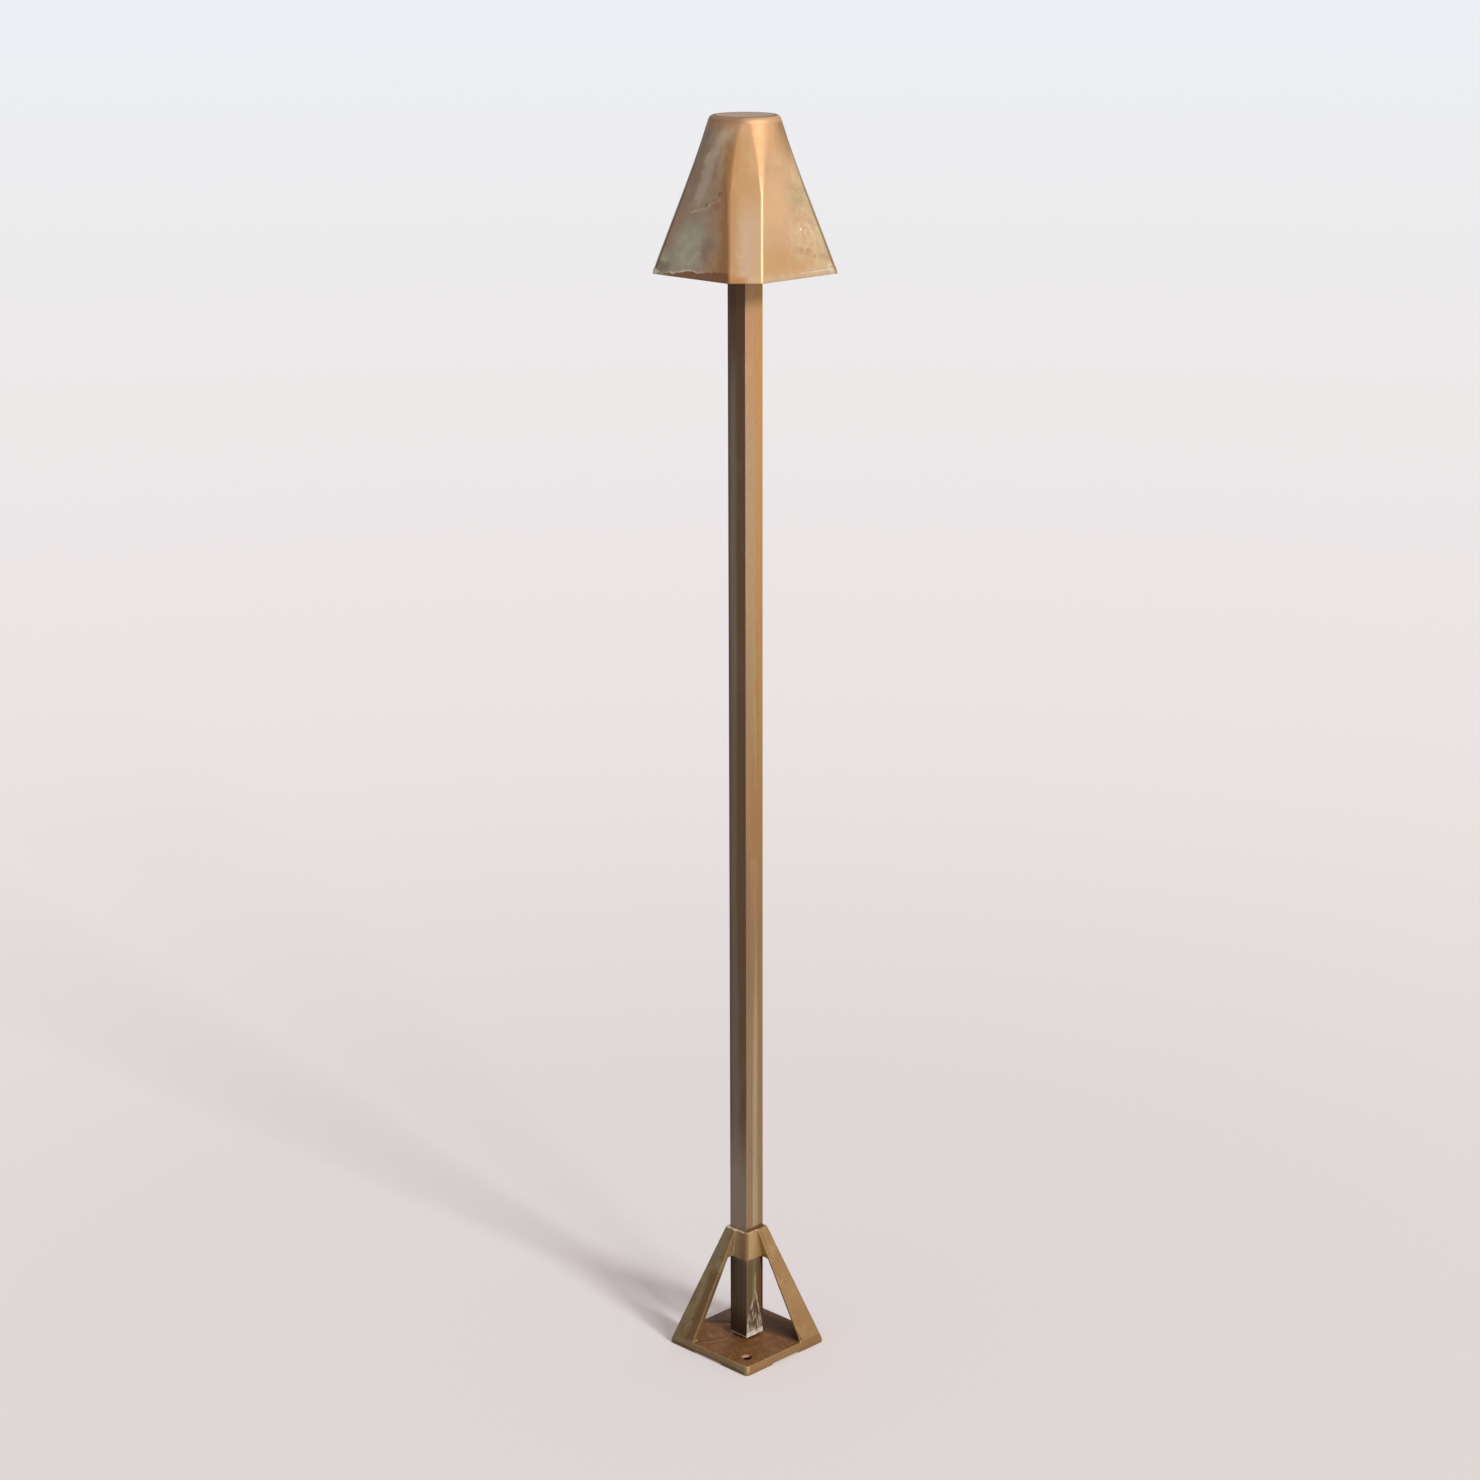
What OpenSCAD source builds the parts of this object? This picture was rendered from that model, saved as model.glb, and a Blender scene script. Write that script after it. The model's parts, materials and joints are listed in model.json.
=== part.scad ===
// Garden post light: a cast base with two struts, a square stem and a hipped shade.
// Millimetres, +Z up, origin on the ground under the middle of the stem.
// The plate's sides run along X and Y, and the struts stand on its -X-Y and +X+Y corners.

/* [Base casting] */
// Width of the square plate at the ground
base_w = 119.4; // [112:0.2:140]
// Height of the plate's top face
plate_t = 10; // [9:0.5:14]
// Height of the plate's upright edge, below its slope
plate_edge_h = 4; // [2:0.5:6]
// Rounding of the plate's upright corners
plate_corner_r = 5; // [2:0.5:8]
// Height of the collar's top face
collar_top_z = 138; // [125:1:160]
// Length of stem that the collar holds
collar_h = 34; // [20:1:42]
// Wall of the collar
collar_wall = 2.2; // [2:0.1:3.5]
// Rounding of the collar's upright corners
collar_corner_r = 1.8; // [0.6:0.1:2]
// Width of a strut's face where it leaves the plate
strut_foot_w = 32.8; // [28:0.2:42]
// Width of a strut's face at the collar's top
strut_head_w = 15; // [11:0.1:15.6]
// Wall of a strut's flange that faces X, square to its face
strut_wall_x = 2.8; // [2.4:0.1:4]
// Wall of a strut's flange that faces Y, square to its face
strut_wall_y = 6.6; // [2.8:0.1:7.6]
// How far the strut stands outside the collar at the top
strut_proud = 1; // [0.4:0.1:2]
// Rounding of a strut's outer edge at the top
strut_edge_r = 1.5; // [0.5:0.1:2]

/* [Underside of the base] */
// Width of the drain channels that cross the underside
channel_w = 40; // [36:1:50]
// Depth of the drain channels
channel_d = 1.5; // [0.8:0.1:2.5]
// Diameter of the round pocket for the lock nut
pocket_d = 36; // [30:1:40]
// Thickness of metal left above the pocket
web_t = 3.2; // [2.5:0.1:4]

/* [Ground screws] */
// Diameter of the circle through the two ground screws
anchor_pcd = 114.3; // [100:0.1:120]
// Diameter of a ground screw's hole
anchor_hole_d = 6.5; // [5:0.1:8]
// Diameter of the hole's countersink
anchor_sink_d = 11; // [9:0.1:13]

/* [Stem] */
// Width of the square tube
stem_w = 25.4; // [24:0.1:30]
// Wall of the tube
stem_wall = 1.6; // [1.2:0.1:2]
// Length of the tube
stem_len = 1219; // [600:1:1500]
// Rounding of the tube's long edges
stem_edge_r = 1.2; // [0.5:0.1:2]
// Gap between the tube's foot and the plate
foot_gap = 3; // [1:0.5:6]

/* [Foot plug and cable way] */
// Width of the plug's neck below the tube
neck_w = 20; // [18:0.5:21]
// Length of the plug inside the tube
plug_len = 24; // [18:1:40]
// Outside diameter of the threaded nipple
nipple_d = 13; // [11:0.1:15]
// Bore of the nipple
nipple_bore_d = 9; // [8:0.1:9.5]
// Length of nipple screwed into the plug
nipple_grip = 12; // [8:1:14]
// Thickness of the lock washer
washer_t = 1; // [0.6:0.1:1.4]
// Thickness of the lock nut
nut_t = 3; // [2:0.1:3.2]
// Width of the lock nut across its flats
nut_w = 19; // [17:0.5:22]
// Hole in the grommet for the supply cable
cable_hole_d = 6.4; // [5:0.1:7]

/* [Shade] */
// Width across the shade's flat faces at the rim
shade_w = 153; // [140:1:170]
// Width across the shade's corner facets at the rim
shade_corner_w = 183; // [176:1:192]
// Diameter of the cone's end at the top, before its shoulder is rounded
shade_top_d = 69.8; // [66:0.2:80]
// Height of the shade
shade_h = 153.8; // [145:0.2:175]
// Wall of the shade
shade_wall = 3; // [2:0.1:3.5]
// Rounding of the shoulder round the top
shoulder_r = 5.5; // [3:0.5:8]
// Rounding of the shade's hips at the rim
hip_r = 1; // [0.5:0.1:2]
// Extra rounding that the hips gain on their way up
hip_growth = 15; // [8:1:20]
// Inward bow of the corner facets
facet_bow = 11.5; // [0:0.5:16]
// Length of stem that the shade hides
shade_drop = 63.5; // [50:0.5:64]
// Width of the crease round the flat top
crease_w = 0.5; // [0.2:0.1:1]

/* [Hub] */
// Diameter of the hub's seat flange
flange_d = 64; // [62:0.5:66]
// Thickness of the seat flange
flange_t = 3.5; // [2.5:0.1:6]
// Diameter of the hub's drum
drum_d = 50; // [49:0.1:51]
// Height of the drum above the flange
drum_h = 14.5; // [13:0.5:18]
// Depth of the lens well in the drum
well_d = 7; // [5:0.1:7]
// Length of the hub's square spigot in the tube
spigot_len = 25; // [16:1:40]
// Diameter of the wire hole through the hub
wire_hole_d = 9; // [8.4:0.1:10]

/* [Lens and lamp] */
// Outside diameter of the glass lens
lens_d = 44; // [42:0.1:44.4]
// Height of the lens
lens_h = 46; // [43:0.5:50]
// Wall of the lens
lens_wall = 2.5; // [1.8:0.1:3]
// Thickness of the gasket under the lens
gasket_t = 1.5; // [1:0.1:2]
// Length of the ceramic lamp holder
holder_len = 26; // [24:0.5:30]
// Width of the lamp holder
holder_w = 14; // [12:0.5:16]
// Height of the lamp holder
holder_h = 11; // [9:0.5:12]
// Distance between the lamp's two pins
pin_pitch = 4; // [3.6:0.1:5]
// Diameter of a lamp pin
pin_d = 0.7; // [0.5:0.1:1]
// Length of a lamp pin
pin_len = 6.5; // [5:0.1:7]
// Diameter of the lamp's body
lamp_d = 12; // [10:0.1:14]
// Height of the lamp's body
lamp_h = 22; // [16:0.5:23]

/* [Shade carrier] */
// Outside diameter of the carrier ring
ring_d = 68; // [66:0.5:70]
// Height of the carrier ring
ring_h = 7; // [6:0.1:7.5]
// Diameter of the circle through the three rods
rod_pcd = 59; // [58:0.1:60]
// Diameter of a rod
rod_d = 5; // [4.4:0.1:5.2]
// Diameter of the disc that the rods hold
disc_d = 66; // [65:0.5:67]
// Thickness of the disc
disc_t = 3; // [2.5:0.1:4]
// Diameter of the boss under the shade's top
boss_d = 18; // [14:0.5:24]
// Height of the boss
boss_h = 12.8; // [10:0.2:14]
// Diameter of a thumb screw's head
thumb_head_d = 10; // [8:0.5:12]

/* [Wiring] */
// Diameter of a lead wire
wire_d = 2.4; // [2:0.1:2.6]
// Distance between the two lead wires
wire_pitch = 5.6; // [5.4:0.1:5.8]
// Diameter of a splice sleeve
sleeve_d = 5; // [4.4:0.1:5.2]
// Length of a splice sleeve
sleeve_len = 28; // [20:1:40]
// Height of the splice sleeves above the plug
sleeve_rise = 30; // [10:1:60]

/* [Hidden] */
$fn = 64;

// Clearances
fit = 0.1;
slip = 0.05;
collar_fit = 0.15;

// Quarter and eighth of a turn
quarter = 90;
eighth = 45;

// Facets of a lofted section: segments of each hip and of each square corner
hip_n = 6;
corner_n = 6;

// Rings of the shade: how many, how they crowd at the top, and the least spacing
shade_steps = 20;
shade_crowding = 1.5;
shade_ring_gap = 0.005;
// How late the hips open into the round top, and the flat left between them there
hip_power = 14;
hip_flat = 0.4;
// Turn between the rings of the shoulder
shoulder_turn = 12;

// Number of thumb screws and of rods, and the turn of the first rod
carrier_n = 3;
carrier_turn = 15;

// Fasteners: thread, head diameter and head height
set_screw_d = 5;
set_screw_len = 4;
small_d = 3;
small_head_d = 5.6;
small_head_h = 1.7;
small_len = 8;
small_spare = 2;
hub_screw_d = 4;
hub_screw_head_d = 7.6;
hub_screw_head_h = 2.6;
hub_screw_grip = 4.5;
disc_screw_d = 5;
disc_screw_head_d = 9.4;
disc_screw_spare = 3;
thumb_d = 4;
thumb_head_t = 5;
thumb_flutes = 14;
thumb_flute_d = 1.6;
thumb_gap = 1;

// Heights of the stem
stem_z0 = plate_t + foot_gap;
stem_z1 = stem_z0 + stem_len;
stem_bore_w = stem_w - 2 * stem_wall;
collar_hole_w = stem_w + 2 * collar_fit;
collar_w = collar_hole_w + 2 * collar_wall;
collar_z0 = collar_top_z - collar_h;

// Slopes of the base's outer faces and of its strut edges
base_half = base_w / 2;
strut_top_half = collar_w / 2 + strut_proud;
function base_half_at(z) = base_half
    + (strut_top_half - base_half) * (z - plate_edge_h) / (collar_top_z - plate_edge_h);
strut_foot_in = base_half_at(plate_t) - strut_foot_w;
strut_head_in = strut_top_half - strut_head_w;
strut_lean = atan((base_half - strut_top_half) / (collar_top_z - plate_edge_h));

// Heights and widths of the cable way
pocket_z1 = plate_t - web_t;
washer_z0 = pocket_z1 - washer_t;
nut_z0 = washer_z0 - nut_t;
nipple_proud = 0.4;
nipple_z0 = nut_z0 - nipple_proud;
nipple_z1 = stem_z0 + nipple_grip;
grommet_flange_t = 1;
grommet_len = 8;
plug_z1 = stem_z0 + plug_len;

// Heights of the hub, lens and lamp
flange_z1 = stem_z1 + flange_t;
drum_z1 = flange_z1 + drum_h;
well_z0 = drum_z1 - well_d;
lens_z0 = well_z0 + gasket_t;
lens_z1 = lens_z0 + lens_h;
gasket_wall = 0.8;
well_w = lens_d + 2 * slip + 2 * gasket_wall + 2 * slip;
holder_z1 = well_z0 + holder_h;
holder_screw_edge = 4;
holder_screw_pitch = holder_len - 2 * holder_screw_edge;
lamp_gap = 0.3;
lamp_z0 = holder_z1 + lamp_gap;
lamp_base_h = 7;
capsule_step = 0.6;

// Heights of the shade and its carrier
shade_z0 = stem_z1 - shade_drop;
shade_z1 = shade_z0 + shade_h;
shade_top_r = shade_top_d / 2;
ring_bore_r = drum_d / 2 + slip;
ring_z1 = flange_z1 + ring_h;
boss_z1 = shade_z1 - shade_wall;
disc_z1 = boss_z1 - boss_h;
disc_z0 = disc_z1 - disc_t;
disc_screw_len = disc_t + boss_h - disc_screw_spare;
thumb_z = flange_z1 + ring_h / 2;
thumb_tip_r = ring_bore_r;
thumb_head_r = ring_d / 2 + thumb_gap;

// Heights of the wiring
sleeve_z0 = plug_z1 + sleeve_rise;
sleeve_z1 = sleeve_z0 + sleeve_len;
sleeve_stop = 2;
sleeve_grip = sleeve_len / 2 - sleeve_stop;
wire_z0 = sleeve_z1 - sleeve_grip;

// Points of a rectangle with rounded corners, anticlockwise from the +X side
function rounded_rectangle(half_x, half_y, r) = [
    for (q = [0:3])
        for (k = [0:corner_n])
            let (turn = quarter * (q + k / corner_n), mid = quarter * q + eighth)
                [sign(cos(mid)) * (half_x - r) + r * cos(turn),
                 sign(sin(mid)) * (half_y - r) + r * sin(turn)]
];
function rounded_square(half, r) = rounded_rectangle(half, half, r);

// Points of a section with four faces at distance a, four facets at d and hips rounded by r
function hip_section(a, d, r) = [
    for (q = [0:7])
        let (
            turn = eighth * q,
            here = (q % 2 == 0 ? a : d) - r,
            next = (q % 2 == 0 ? d : a) - r,
            side = (next - here * cos(eighth)) / sin(eighth)
        )
        for (k = [0:hip_n])
            let (arc = turn + eighth * k / hip_n)
                [here * cos(turn) - side * sin(turn) + r * cos(arc),
                 here * sin(turn) + side * cos(turn) + r * sin(arc)]
];

// A flat outline lifted to height z
function lifted(outline, z) = [for (p = outline) [p[0], p[1], z]];

// A closed solid through rings that all have as many points
module loft(rings) {
    n = len(rings[0]);
    last = len(rings) - 1;
    sides = [
        for (j = [0:last - 1])
            for (i = [0:n - 1])
                [j * n + i, (j + 1) * n + i, (j + 1) * n + (i + 1) % n, j * n + (i + 1) % n]
    ];
    first_cap = [for (i = [0:n - 1]) i];
    last_cap = [for (i = [0:n - 1]) last * n + n - 1 - i];
    polyhedron(
        points = [for (ring = rings) each ring],
        faces = concat([first_cap], sides, [last_cap]),
        convexity = 10
    );
}

// An upright prism of square section
module square_prism(w, z0, z1) {
    translate([-w / 2, -w / 2, z0])
        cube([w, w, z1 - z0]);
}

// An upright round bar
module bar(d, z0, z1) {
    translate([0, 0, z0])
        cylinder(d = d, h = z1 - z0);
}

// A loft between two squares whose inner corner stands at in0 below and in1 above, on +X+Y
module corner_wedge(in0, in1, z0, z1, reach) {
    loft([
        lifted([[in0, in0], [reach, in0], [reach, reach], [in0, reach]], z0),
        lifted([[in1, in1], [reach, in1], [reach, reach], [in1, reach]], z1)
    ]);
}

// The solid pyramid that the whole casting is cut from
module base_pyramid() {
    foot = rounded_square(base_half, plate_corner_r);
    head = rounded_square(strut_top_half, strut_edge_r);
    loft([lifted(foot, 0), lifted(foot, plate_edge_h), lifted(head, collar_top_z)]);
}

// The two opposite corners of the pyramid that stay as struts
module strut_corners() {
    over = 1;
    rise = collar_top_z - plate_t;
    lean = (strut_head_in - strut_foot_in) / rise;
    for (turn = [0, 180])
        rotate([0, 0, turn])
            corner_wedge(
                strut_foot_in - lean * over, strut_head_in + lean * over,
                plate_t - over, collar_top_z + over, base_w
            );
}

// The space between the struts' inner faces
module strut_hollow() {
    corner_r = 1;
    in_x = strut_wall_x / cos(strut_lean);
    in_y = strut_wall_y / cos(strut_lean);
    loft([
        for (z = [plate_t, collar_z0])
            lifted(rounded_rectangle(base_half_at(z) - in_x, base_half_at(z) - in_y, corner_r), z)
    ]);
}

module anchor_hole() {
    sink = (anchor_sink_d - anchor_hole_d) / 2;
    over = 1;
    bar(anchor_hole_d, -over, plate_t + over);
    translate([0, 0, plate_t - sink])
        cylinder(d1 = anchor_hole_d, d2 = anchor_sink_d + 2 * over, h = sink + over);
}

module base_casting() {
    over = 1;
    reach = base_w / 2 + over;
    color([0.62, 0.43, 0.24])
        difference() {
            union() {
                intersection() {
                    base_pyramid();
                    union() {
                        translate([-reach, -reach, 0])
                            cube([2 * reach, 2 * reach, plate_t]);
                        difference() {
                            strut_corners();
                            strut_hollow();
                        }
                    }
                }
                translate([0, 0, collar_z0])
                    linear_extrude(collar_h)
                        polygon(rounded_square(collar_w / 2, collar_corner_r));
            }
            square_prism(collar_hole_w, collar_z0 - over, collar_top_z + over);
            for (side = [-1, 1])
                translate([0, 0, -channel_d])
                    linear_extrude(2 * channel_d)
                        square(
                            side > 0 ? [channel_w, 2 * reach] : [2 * reach, channel_w],
                            center = true
                        );
            bar(pocket_d, -over, pocket_z1);
            bar(nipple_d + 2 * fit, -over, plate_t + over);
            for (turn = [-45, 135])
                rotate([0, 0, turn])
                    translate([anchor_pcd / 2, 0, 0])
                        anchor_hole();
            collar_screw_places()
                cylinder(d = set_screw_d + 2 * slip, h = collar_w);
        }
}

// The stem's set screws stand in the collar's two rear faces, pointing at the stem
module collar_screw_places() {
    for (turn = [90, 180])
        rotate([0, 0, turn])
            translate([stem_w / 2, 0, collar_z0 + collar_h / 2])
                rotate([0, 90, 0])
                    children();
}

module collar_screws() {
    socket_d = 2.8;
    socket_depth = 2;
    color([0.75, 0.75, 0.76])
        collar_screw_places()
            difference() {
                cylinder(d = set_screw_d, h = set_screw_len);
                translate([0, 0, set_screw_len - socket_depth])
                    cylinder(d = socket_d, h = socket_depth + 1, $fn = 6);
            }
}

module stem() {
    over = 1;
    color([0.52, 0.37, 0.22])
        difference() {
            translate([0, 0, stem_z0])
                linear_extrude(stem_len)
                    polygon(rounded_square(stem_w / 2, stem_edge_r));
            square_prism(stem_bore_w, stem_z0 - over, stem_z1 + over);
            hub_screw_places()
                cylinder(d = hub_screw_d + 2 * fit, h = stem_w, center = true);
        }
}

module foot_plug() {
    over = 1;
    color([0.66, 0.5, 0.28])
        difference() {
            union() {
                square_prism(neck_w, plate_t, stem_z0);
                square_prism(stem_bore_w - 2 * fit, stem_z0, plug_z1);
            }
            bar(nipple_d + 2 * slip, plate_t - over, nipple_z1);
            bar(nipple_bore_d, plate_t - over, plug_z1 + over);
        }
}

module foot_nipple() {
    over = 1;
    color([0.78, 0.6, 0.3])
        difference() {
            bar(nipple_d, nipple_z0, nipple_z1);
            bar(nipple_bore_d, nipple_z0 - over, nipple_z1 + over);
        }
}

module lock_washer() {
    teeth = 12;
    washer_d = nut_w + 1;
    bite_d = 2;
    over = 1;
    color([0.7, 0.7, 0.72])
        difference() {
            bar(washer_d, washer_z0, pocket_z1);
            bar(nipple_d + 2 * fit, washer_z0 - over, pocket_z1 + over);
            for (k = [0:teeth - 1])
                rotate([0, 0, 360 * k / teeth])
                    translate([washer_d / 2, 0, 0])
                        bar(bite_d, washer_z0 - over, pocket_z1 + over);
        }
}

module lock_nut() {
    over = 1;
    color([0.78, 0.6, 0.3])
        difference() {
            translate([0, 0, nut_z0])
                cylinder(d = nut_w / cos(30), h = nut_t, $fn = 6);
            bar(nipple_d + 2 * slip, nut_z0 - over, washer_z0 + over);
        }
}

module cable_grommet() {
    over = 1;
    flange_d_outer = nipple_d;
    color([0.08, 0.08, 0.08])
        difference() {
            union() {
                bar(flange_d_outer, nipple_z0 - grommet_flange_t, nipple_z0);
                bar(nipple_bore_d - 2 * slip, nipple_z0, nipple_z0 + grommet_len);
            }
            bar(cable_hole_d, nipple_z0 - grommet_flange_t - over, nipple_z0 + grommet_len + over);
        }
}

// The hub's screws go through two opposite walls of the tube, in from outside
module hub_screw_places() {
    for (turn = [0, 180])
        rotate([0, 0, turn])
            translate([stem_w / 2, 0, stem_z1 - spigot_len / 2])
                rotate([0, 90, 0])
                    children();
}

module hub() {
    over = 1;
    color([0.7, 0.53, 0.3])
        difference() {
            union() {
                square_prism(stem_bore_w - 2 * fit, stem_z1 - spigot_len, stem_z1);
                bar(flange_d, stem_z1, flange_z1);
                bar(drum_d, flange_z1, drum_z1);
            }
            bar(wire_hole_d, stem_z1 - spigot_len - over, drum_z1 + over);
            bar(well_w, well_z0, drum_z1 + over);
            hub_screw_places()
                translate([0, 0, -stem_wall - hub_screw_grip])
                    cylinder(d = hub_screw_d + 2 * slip, h = hub_screw_grip + stem_wall + over);
            holder_screw_places()
                translate([0, 0, holder_h - small_len - holder_h / 2])
                    cylinder(d = small_d + 2 * slip, h = small_len);
        }
}

module hub_screws() {
    slot_w = 1;
    slot_depth = 1.1;
    color([0.72, 0.6, 0.36])
        hub_screw_places()
            difference() {
                union() {
                    translate([0, 0, -stem_wall - hub_screw_grip + fit])
                        cylinder(d = hub_screw_d, h = stem_wall + hub_screw_grip - fit);
                    cylinder(d = hub_screw_head_d, h = hub_screw_head_h);
                }
                translate([-hub_screw_head_d, -slot_w / 2, hub_screw_head_h - slot_depth])
                    cube([2 * hub_screw_head_d, slot_w, slot_depth + 1]);
            }
}

// The holder's screws stand along Y beside the pins, with their feet on the well's floor
module holder_screw_places() {
    for (side = [-1, 1])
        translate([0, side * holder_screw_pitch / 2, well_z0])
            children();
}

module lamp_holder() {
    over = 1;
    end_r = holder_w / 2;
    color([0.93, 0.91, 0.86])
        difference() {
            union() {
                translate([-end_r, -holder_len / 2 + end_r, well_z0])
                    cube([holder_w, holder_len - 2 * end_r, holder_h]);
                for (side = [-1, 1])
                    translate([0, side * (holder_len / 2 - end_r), well_z0])
                        cylinder(d = holder_w, h = holder_h);
            }
            for (side = [-1, 1])
                translate([side * pin_pitch / 2, 0, holder_z1 - pin_len - over])
                    cylinder(d = pin_d + 2 * slip, h = pin_len + 2 * over);
            holder_screw_places() {
                translate([0, 0, -over])
                    cylinder(d = small_d + 2 * fit, h = holder_h + 2 * over);
                translate([0, 0, holder_h / 2])
                    cylinder(d = small_head_d + 2 * fit, h = holder_h);
            }
        }
}

module holder_screws() {
    slot_w = 0.8;
    slot_depth = 0.9;
    color([0.75, 0.75, 0.76])
        holder_screw_places()
            difference() {
                union() {
                    translate([0, 0, holder_h / 2 - (small_len - fit)])
                        cylinder(d = small_d, h = small_len - fit);
                    translate([0, 0, holder_h / 2])
                        cylinder(d = small_head_d, h = small_head_h);
                }
                translate([-small_head_d, -slot_w / 2, holder_h / 2 + small_head_h - slot_depth])
                    cube([2 * small_head_d, slot_w, slot_depth + 1]);
            }
}

module lead_wire(side) {
    translate([side * wire_pitch / 2, 0, 0])
        bar(wire_d, wire_z0, well_z0);
}

module lead_wire_a() {
    color([0.12, 0.12, 0.12])
        lead_wire(-1);
}

module lead_wire_b() {
    color([0.85, 0.85, 0.82])
        lead_wire(1);
}

module splice_sleeves() {
    over = 1;
    color([0.15, 0.25, 0.6])
        for (side = [-1, 1])
            translate([side * wire_pitch / 2, 0, 0])
                difference() {
                    bar(sleeve_d, sleeve_z0, sleeve_z1);
                    bar(wire_d + 2 * slip, wire_z0, sleeve_z1 + over);
                    bar(wire_d + 2 * slip, sleeve_z0 - over, sleeve_z0 + sleeve_grip);
                }
}

module lens_gasket() {
    outer_r = well_w / 2 - slip;
    inner_r = lens_d / 2 + slip;
    foot_r = lens_d / 2 - lens_wall;
    color([0.75, 0.75, 0.73])
        rotate_extrude()
            polygon([
                [foot_r, well_z0], [outer_r, well_z0], [outer_r, drum_z1],
                [inner_r, drum_z1], [inner_r, lens_z0], [foot_r, lens_z0]
            ]);
}

module lens() {
    outer_r = lens_d / 2;
    inner_r = outer_r - lens_wall;
    over = 1;
    color([0.9, 0.92, 0.9, 0.6])
        difference() {
            union() {
                bar(lens_d, lens_z0, lens_z1 - outer_r);
                translate([0, 0, lens_z1 - outer_r])
                    sphere(r = outer_r);
            }
            bar(2 * inner_r, lens_z0 - over, lens_z1 - outer_r);
            translate([0, 0, lens_z1 - outer_r])
                sphere(r = inner_r);
        }
}

module lamp_base() {
    color([0.95, 0.94, 0.9])
        union() {
            bar(lamp_d, lamp_z0, lamp_z0 + lamp_base_h);
            for (side = [-1, 1])
                translate([side * pin_pitch / 2, 0, 0])
                    bar(pin_d, lamp_z0 - pin_len, lamp_z0 + 1);
        }
}

module lamp_capsule() {
    capsule_r = lamp_d / 2 - capsule_step;
    top_r = 2;
    z0 = lamp_z0 + lamp_base_h;
    z1 = lamp_z0 + lamp_h;
    color([1, 0.9, 0.55])
        rotate_extrude()
            union() {
                translate([0, z0])
                    square([capsule_r, z1 - z0 - top_r]);
                translate([0, z1 - top_r])
                    square([capsule_r - top_r, top_r]);
                translate([capsule_r - top_r, z1 - top_r])
                    intersection() {
                        circle(r = top_r);
                        square([top_r, top_r]);
                    }
            }
}

// Places round the carrier, with the rods and the thumb screws taking turns
module rod_places() {
    for (k = [0:carrier_n - 1])
        rotate([0, 0, 360 * k / carrier_n + carrier_turn])
            translate([rod_pcd / 2, 0, 0])
                children();
}

function thumb_turn(k) = 360 * (k + 0.5) / carrier_n + carrier_turn;

// A countersunk screw's outline, head up at height 0, grown all round by a clearance
module sunk_screw(d, head_d, length, grow) {
    head_h = (head_d - d) / 2;
    translate([0, 0, -length])
        cylinder(d = d + 2 * grow, h = length - head_h + grow);
    translate([0, 0, -head_h - grow])
        cylinder(d1 = d + 2 * grow, d2 = head_d + 2 * grow, h = head_h + grow);
}

module rod_screw_places() {
    rod_places() {
        translate([0, 0, disc_z1])
            children();
        translate([0, 0, flange_z1])
            rotate([180, 0, 0])
                children();
    }
}

module carrier_ring() {
    over = 1;
    color([0.66, 0.5, 0.28])
        difference() {
            bar(ring_d, flange_z1, ring_z1);
            bar(2 * ring_bore_r, flange_z1 - over, ring_z1 + over);
            rod_screw_places()
                sunk_screw(small_d, small_head_d, small_len + ring_h, slip);
            for (k = [0:carrier_n - 1])
                rotate([0, 0, thumb_turn(k)])
                    translate([0, 0, thumb_z])
                        rotate([0, 90, 0])
                            cylinder(d = thumb_d + 2 * slip, h = ring_d);
        }
}

module carrier_rods() {
    hole_depth = small_len;
    color([0.66, 0.5, 0.28])
        difference() {
            rod_places()
                bar(rod_d, ring_z1, disc_z0);
            rod_screw_places()
                translate([0, 0, -hole_depth - ring_h])
                    cylinder(d = small_d + 2 * slip, h = hole_depth + ring_h);
        }
}

module rod_screws() {
    color([0.75, 0.75, 0.76])
        rod_places() {
            translate([0, 0, disc_z1])
                screw_with_slot(disc_t + small_len - small_spare);
            translate([0, 0, flange_z1])
                rotate([180, 0, 0])
                    screw_with_slot(ring_h + small_len - small_spare);
        }
}

module screw_with_slot(length) {
    slot_w = 0.8;
    slot_depth = 0.8;
    difference() {
        sunk_screw(small_d, small_head_d, length, 0);
        translate([-small_head_d, -slot_w / 2, -slot_depth])
            cube([2 * small_head_d, slot_w, slot_depth + 1]);
    }
}

module carrier_disc() {
    color([0.66, 0.5, 0.28])
        difference() {
            bar(disc_d, disc_z0, disc_z1);
            rod_screw_places()
                sunk_screw(small_d, small_head_d, small_len, slip);
            translate([0, 0, disc_z0])
                rotate([180, 0, 0])
                    sunk_screw(disc_screw_d, disc_screw_head_d, disc_screw_len, slip);
        }
}

module disc_screw() {
    slot_w = 1.2;
    slot_depth = 1.2;
    color([0.75, 0.75, 0.76])
        translate([0, 0, disc_z0])
            rotate([180, 0, 0])
                difference() {
                    sunk_screw(disc_screw_d, disc_screw_head_d, disc_screw_len - 1, 0);
                    translate([-disc_screw_head_d, -slot_w / 2, -slot_depth])
                        cube([2 * disc_screw_head_d, slot_w, slot_depth + 1]);
                }
}

module shade_boss() {
    color([0.66, 0.5, 0.28])
        difference() {
            bar(boss_d, disc_z1, boss_z1);
            bar(disc_screw_d + 2 * slip, disc_z1 - 1, disc_z0 + disc_screw_len);
        }
}

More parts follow.
